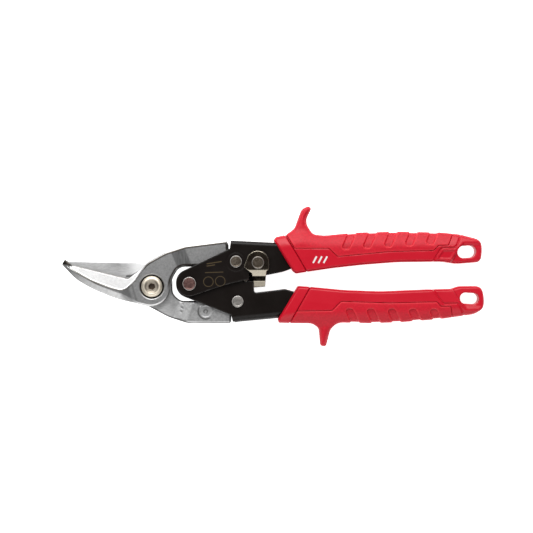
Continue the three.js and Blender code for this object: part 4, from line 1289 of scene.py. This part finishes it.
def grip_pieces(grip, core_material):
    """Cuts a grip's shell into collar, core and cover, with rounded seams between them."""
    grid = Grid((*grip.low, -GRIP_HALF), (*grip.high, GRIP_HALF), GRIP_STEP)
    slots = finger_slots(grid, grip)
    shell = grip_shell(grid, grip, slots)
    past_groove = beyond(grid, grip.groove)[..., None] * grip.side
    soft = grid.flat(grip.cover)
    collar = both(shell, past_groove + SEAM, 0.3)
    rest = both(shell, SEAM - past_groove, 0.3)
    cover = both(rest, soft[..., None] + SEAM, 0.28)
    cover = both(cover, -(rest + SKIN), 0.2)
    core = np.minimum(both(rest, SEAM - soft[..., None], 0.28), rest + SKIN + GAP)
    # Wear and painted highlight on the slots' lips and the seam, and painted shade in the slots' inner ends.
    lip = 0.45 * smooth(0.45, 0.1, np.abs(slots - 0.35))
    seam = 0.3 * smooth(0.5, 0.2, np.abs(soft + 0.5))
    inner_end = smooth(1.2, -0.8, past_facet(grid, grip))
    masks = {"wear_and_highlight": np.maximum(lip, seam), "slot_shade": 0.7 * smooth(0.1, -0.3, slots) * inner_end}
    for kind, field, slot, material, kept in (
        ("collar", collar, "hard_red_plastic", HARD_RED, None),
        ("core", core, "hard_red_plastic", core_material, None),
        ("cover", cover, "soft_red_rubber", SOFT_RED, masks),
    ):
        piece = moulded(f"{grip.name}_{kind}", field, grid, kept)
        attach(piece, f"{grip.name}_handle", material, f"{grip.name}_grip_{kind}")


# ---- Set: floor, light and camera ----
AIM = (0.07, 0.012)  # the tool's middle, in metres, as is all of this section
FLOOR_DROP = 0.0002  # the floor lies this far below the tool


def stage_piece(name, material):
    """Gives the newest object a name and a material."""
    sheet = bpy.context.object
    sheet.name = name
    sheet.data.materials.append(material)


def floor():
    """A pale matt sweep under the tool."""
    bpy.ops.mesh.primitive_plane_add(size=6, location=(0, 0, -FLOOR_DROP))
    n = Nodes("floor_paper", 0.0, 0.9)
    n.colour(n.mix(n.noise(40, 4, 0.6), grey(0.80), grey(0.83)))
    n.shader.inputs["Emission Color"].default_value = (1, 1, 1, 1)
    n.shader.inputs["Emission Strength"].default_value = 0.95
    stage_piece("floor", n.material)


def flag():
    """A dark card above the lens, which flat polished faces mirror."""
    bpy.ops.mesh.primitive_circle_add(vertices=64, radius=0.1, fill_type="NGON", location=(*AIM, 0.9))
    n = Nodes("flag_cloth", 0.0, 0.9)
    n.colour(n.mix(n.noise(60, 3, 0.6), (0.02, 0.017, 0.015, 1), (0.03, 0.026, 0.022, 1)))
    stage_piece("flag", n.material)


def softbox(name, place, size, power):
    """A rectangular soft light aimed at the tool's middle."""
    lamp = bpy.data.lights.new(name, "AREA")
    lamp.shape = "RECTANGLE"
    lamp.size, lamp.size_y = size
    lamp.energy = power
    box = bpy.data.objects.new(name, lamp)
    bpy.context.collection.objects.link(box)
    box.location = place
    aim = Vector((*AIM, 0)) - Vector(place)
    box.rotation_mode = "QUATERNION"
    box.rotation_quaternion = aim.to_track_quat("-Z", "Y")


def lights():
    """A strong softbox beyond the top edge, weaker ones below it and at its corner, and an even sky."""
    softbox("key", (0.07, 1.05, 0.98), (1.1, 1.15), 22)
    softbox("fill", (0.07, -1.05, 0.9), (1.6, 1.1), 9.5)
    softbox("rim", (-0.68, 0.72, 0.98), (0.7, 0.7), 4)
    world = bpy.data.worlds.new("studio")
    bpy.context.scene.world = world
    world.use_nodes = True
    background = world.node_tree.nodes["Background"]
    background.inputs["Color"].default_value = (1, 1, 1, 1)
    background.inputs["Strength"].default_value = 0.17


def camera():
    """Straight down on the tool, its long axis across the picture."""
    lens = bpy.data.cameras.new("camera")
    lens.sensor_width = 36
    lens.lens = 94.2
    eye = bpy.data.objects.new("camera", lens)
    bpy.context.collection.objects.link(eye)
    eye.location = (0.07009, 0.01226, 0.866)
    bpy.context.scene.camera = eye
    bpy.context.scene.view_settings.view_transform = "Standard"


front_blade()
rear_blade()
pivot_bolt()
pivot_washer_and_nut()
handles()
rivets()
collars()
lock_pins()
latch()
spring()
grip_pieces(UPPER_GRIP, PRINTED_RED)
grip_pieces(LOWER_GRIP, HARD_RED)
floor()
flag()
lights()
camera()
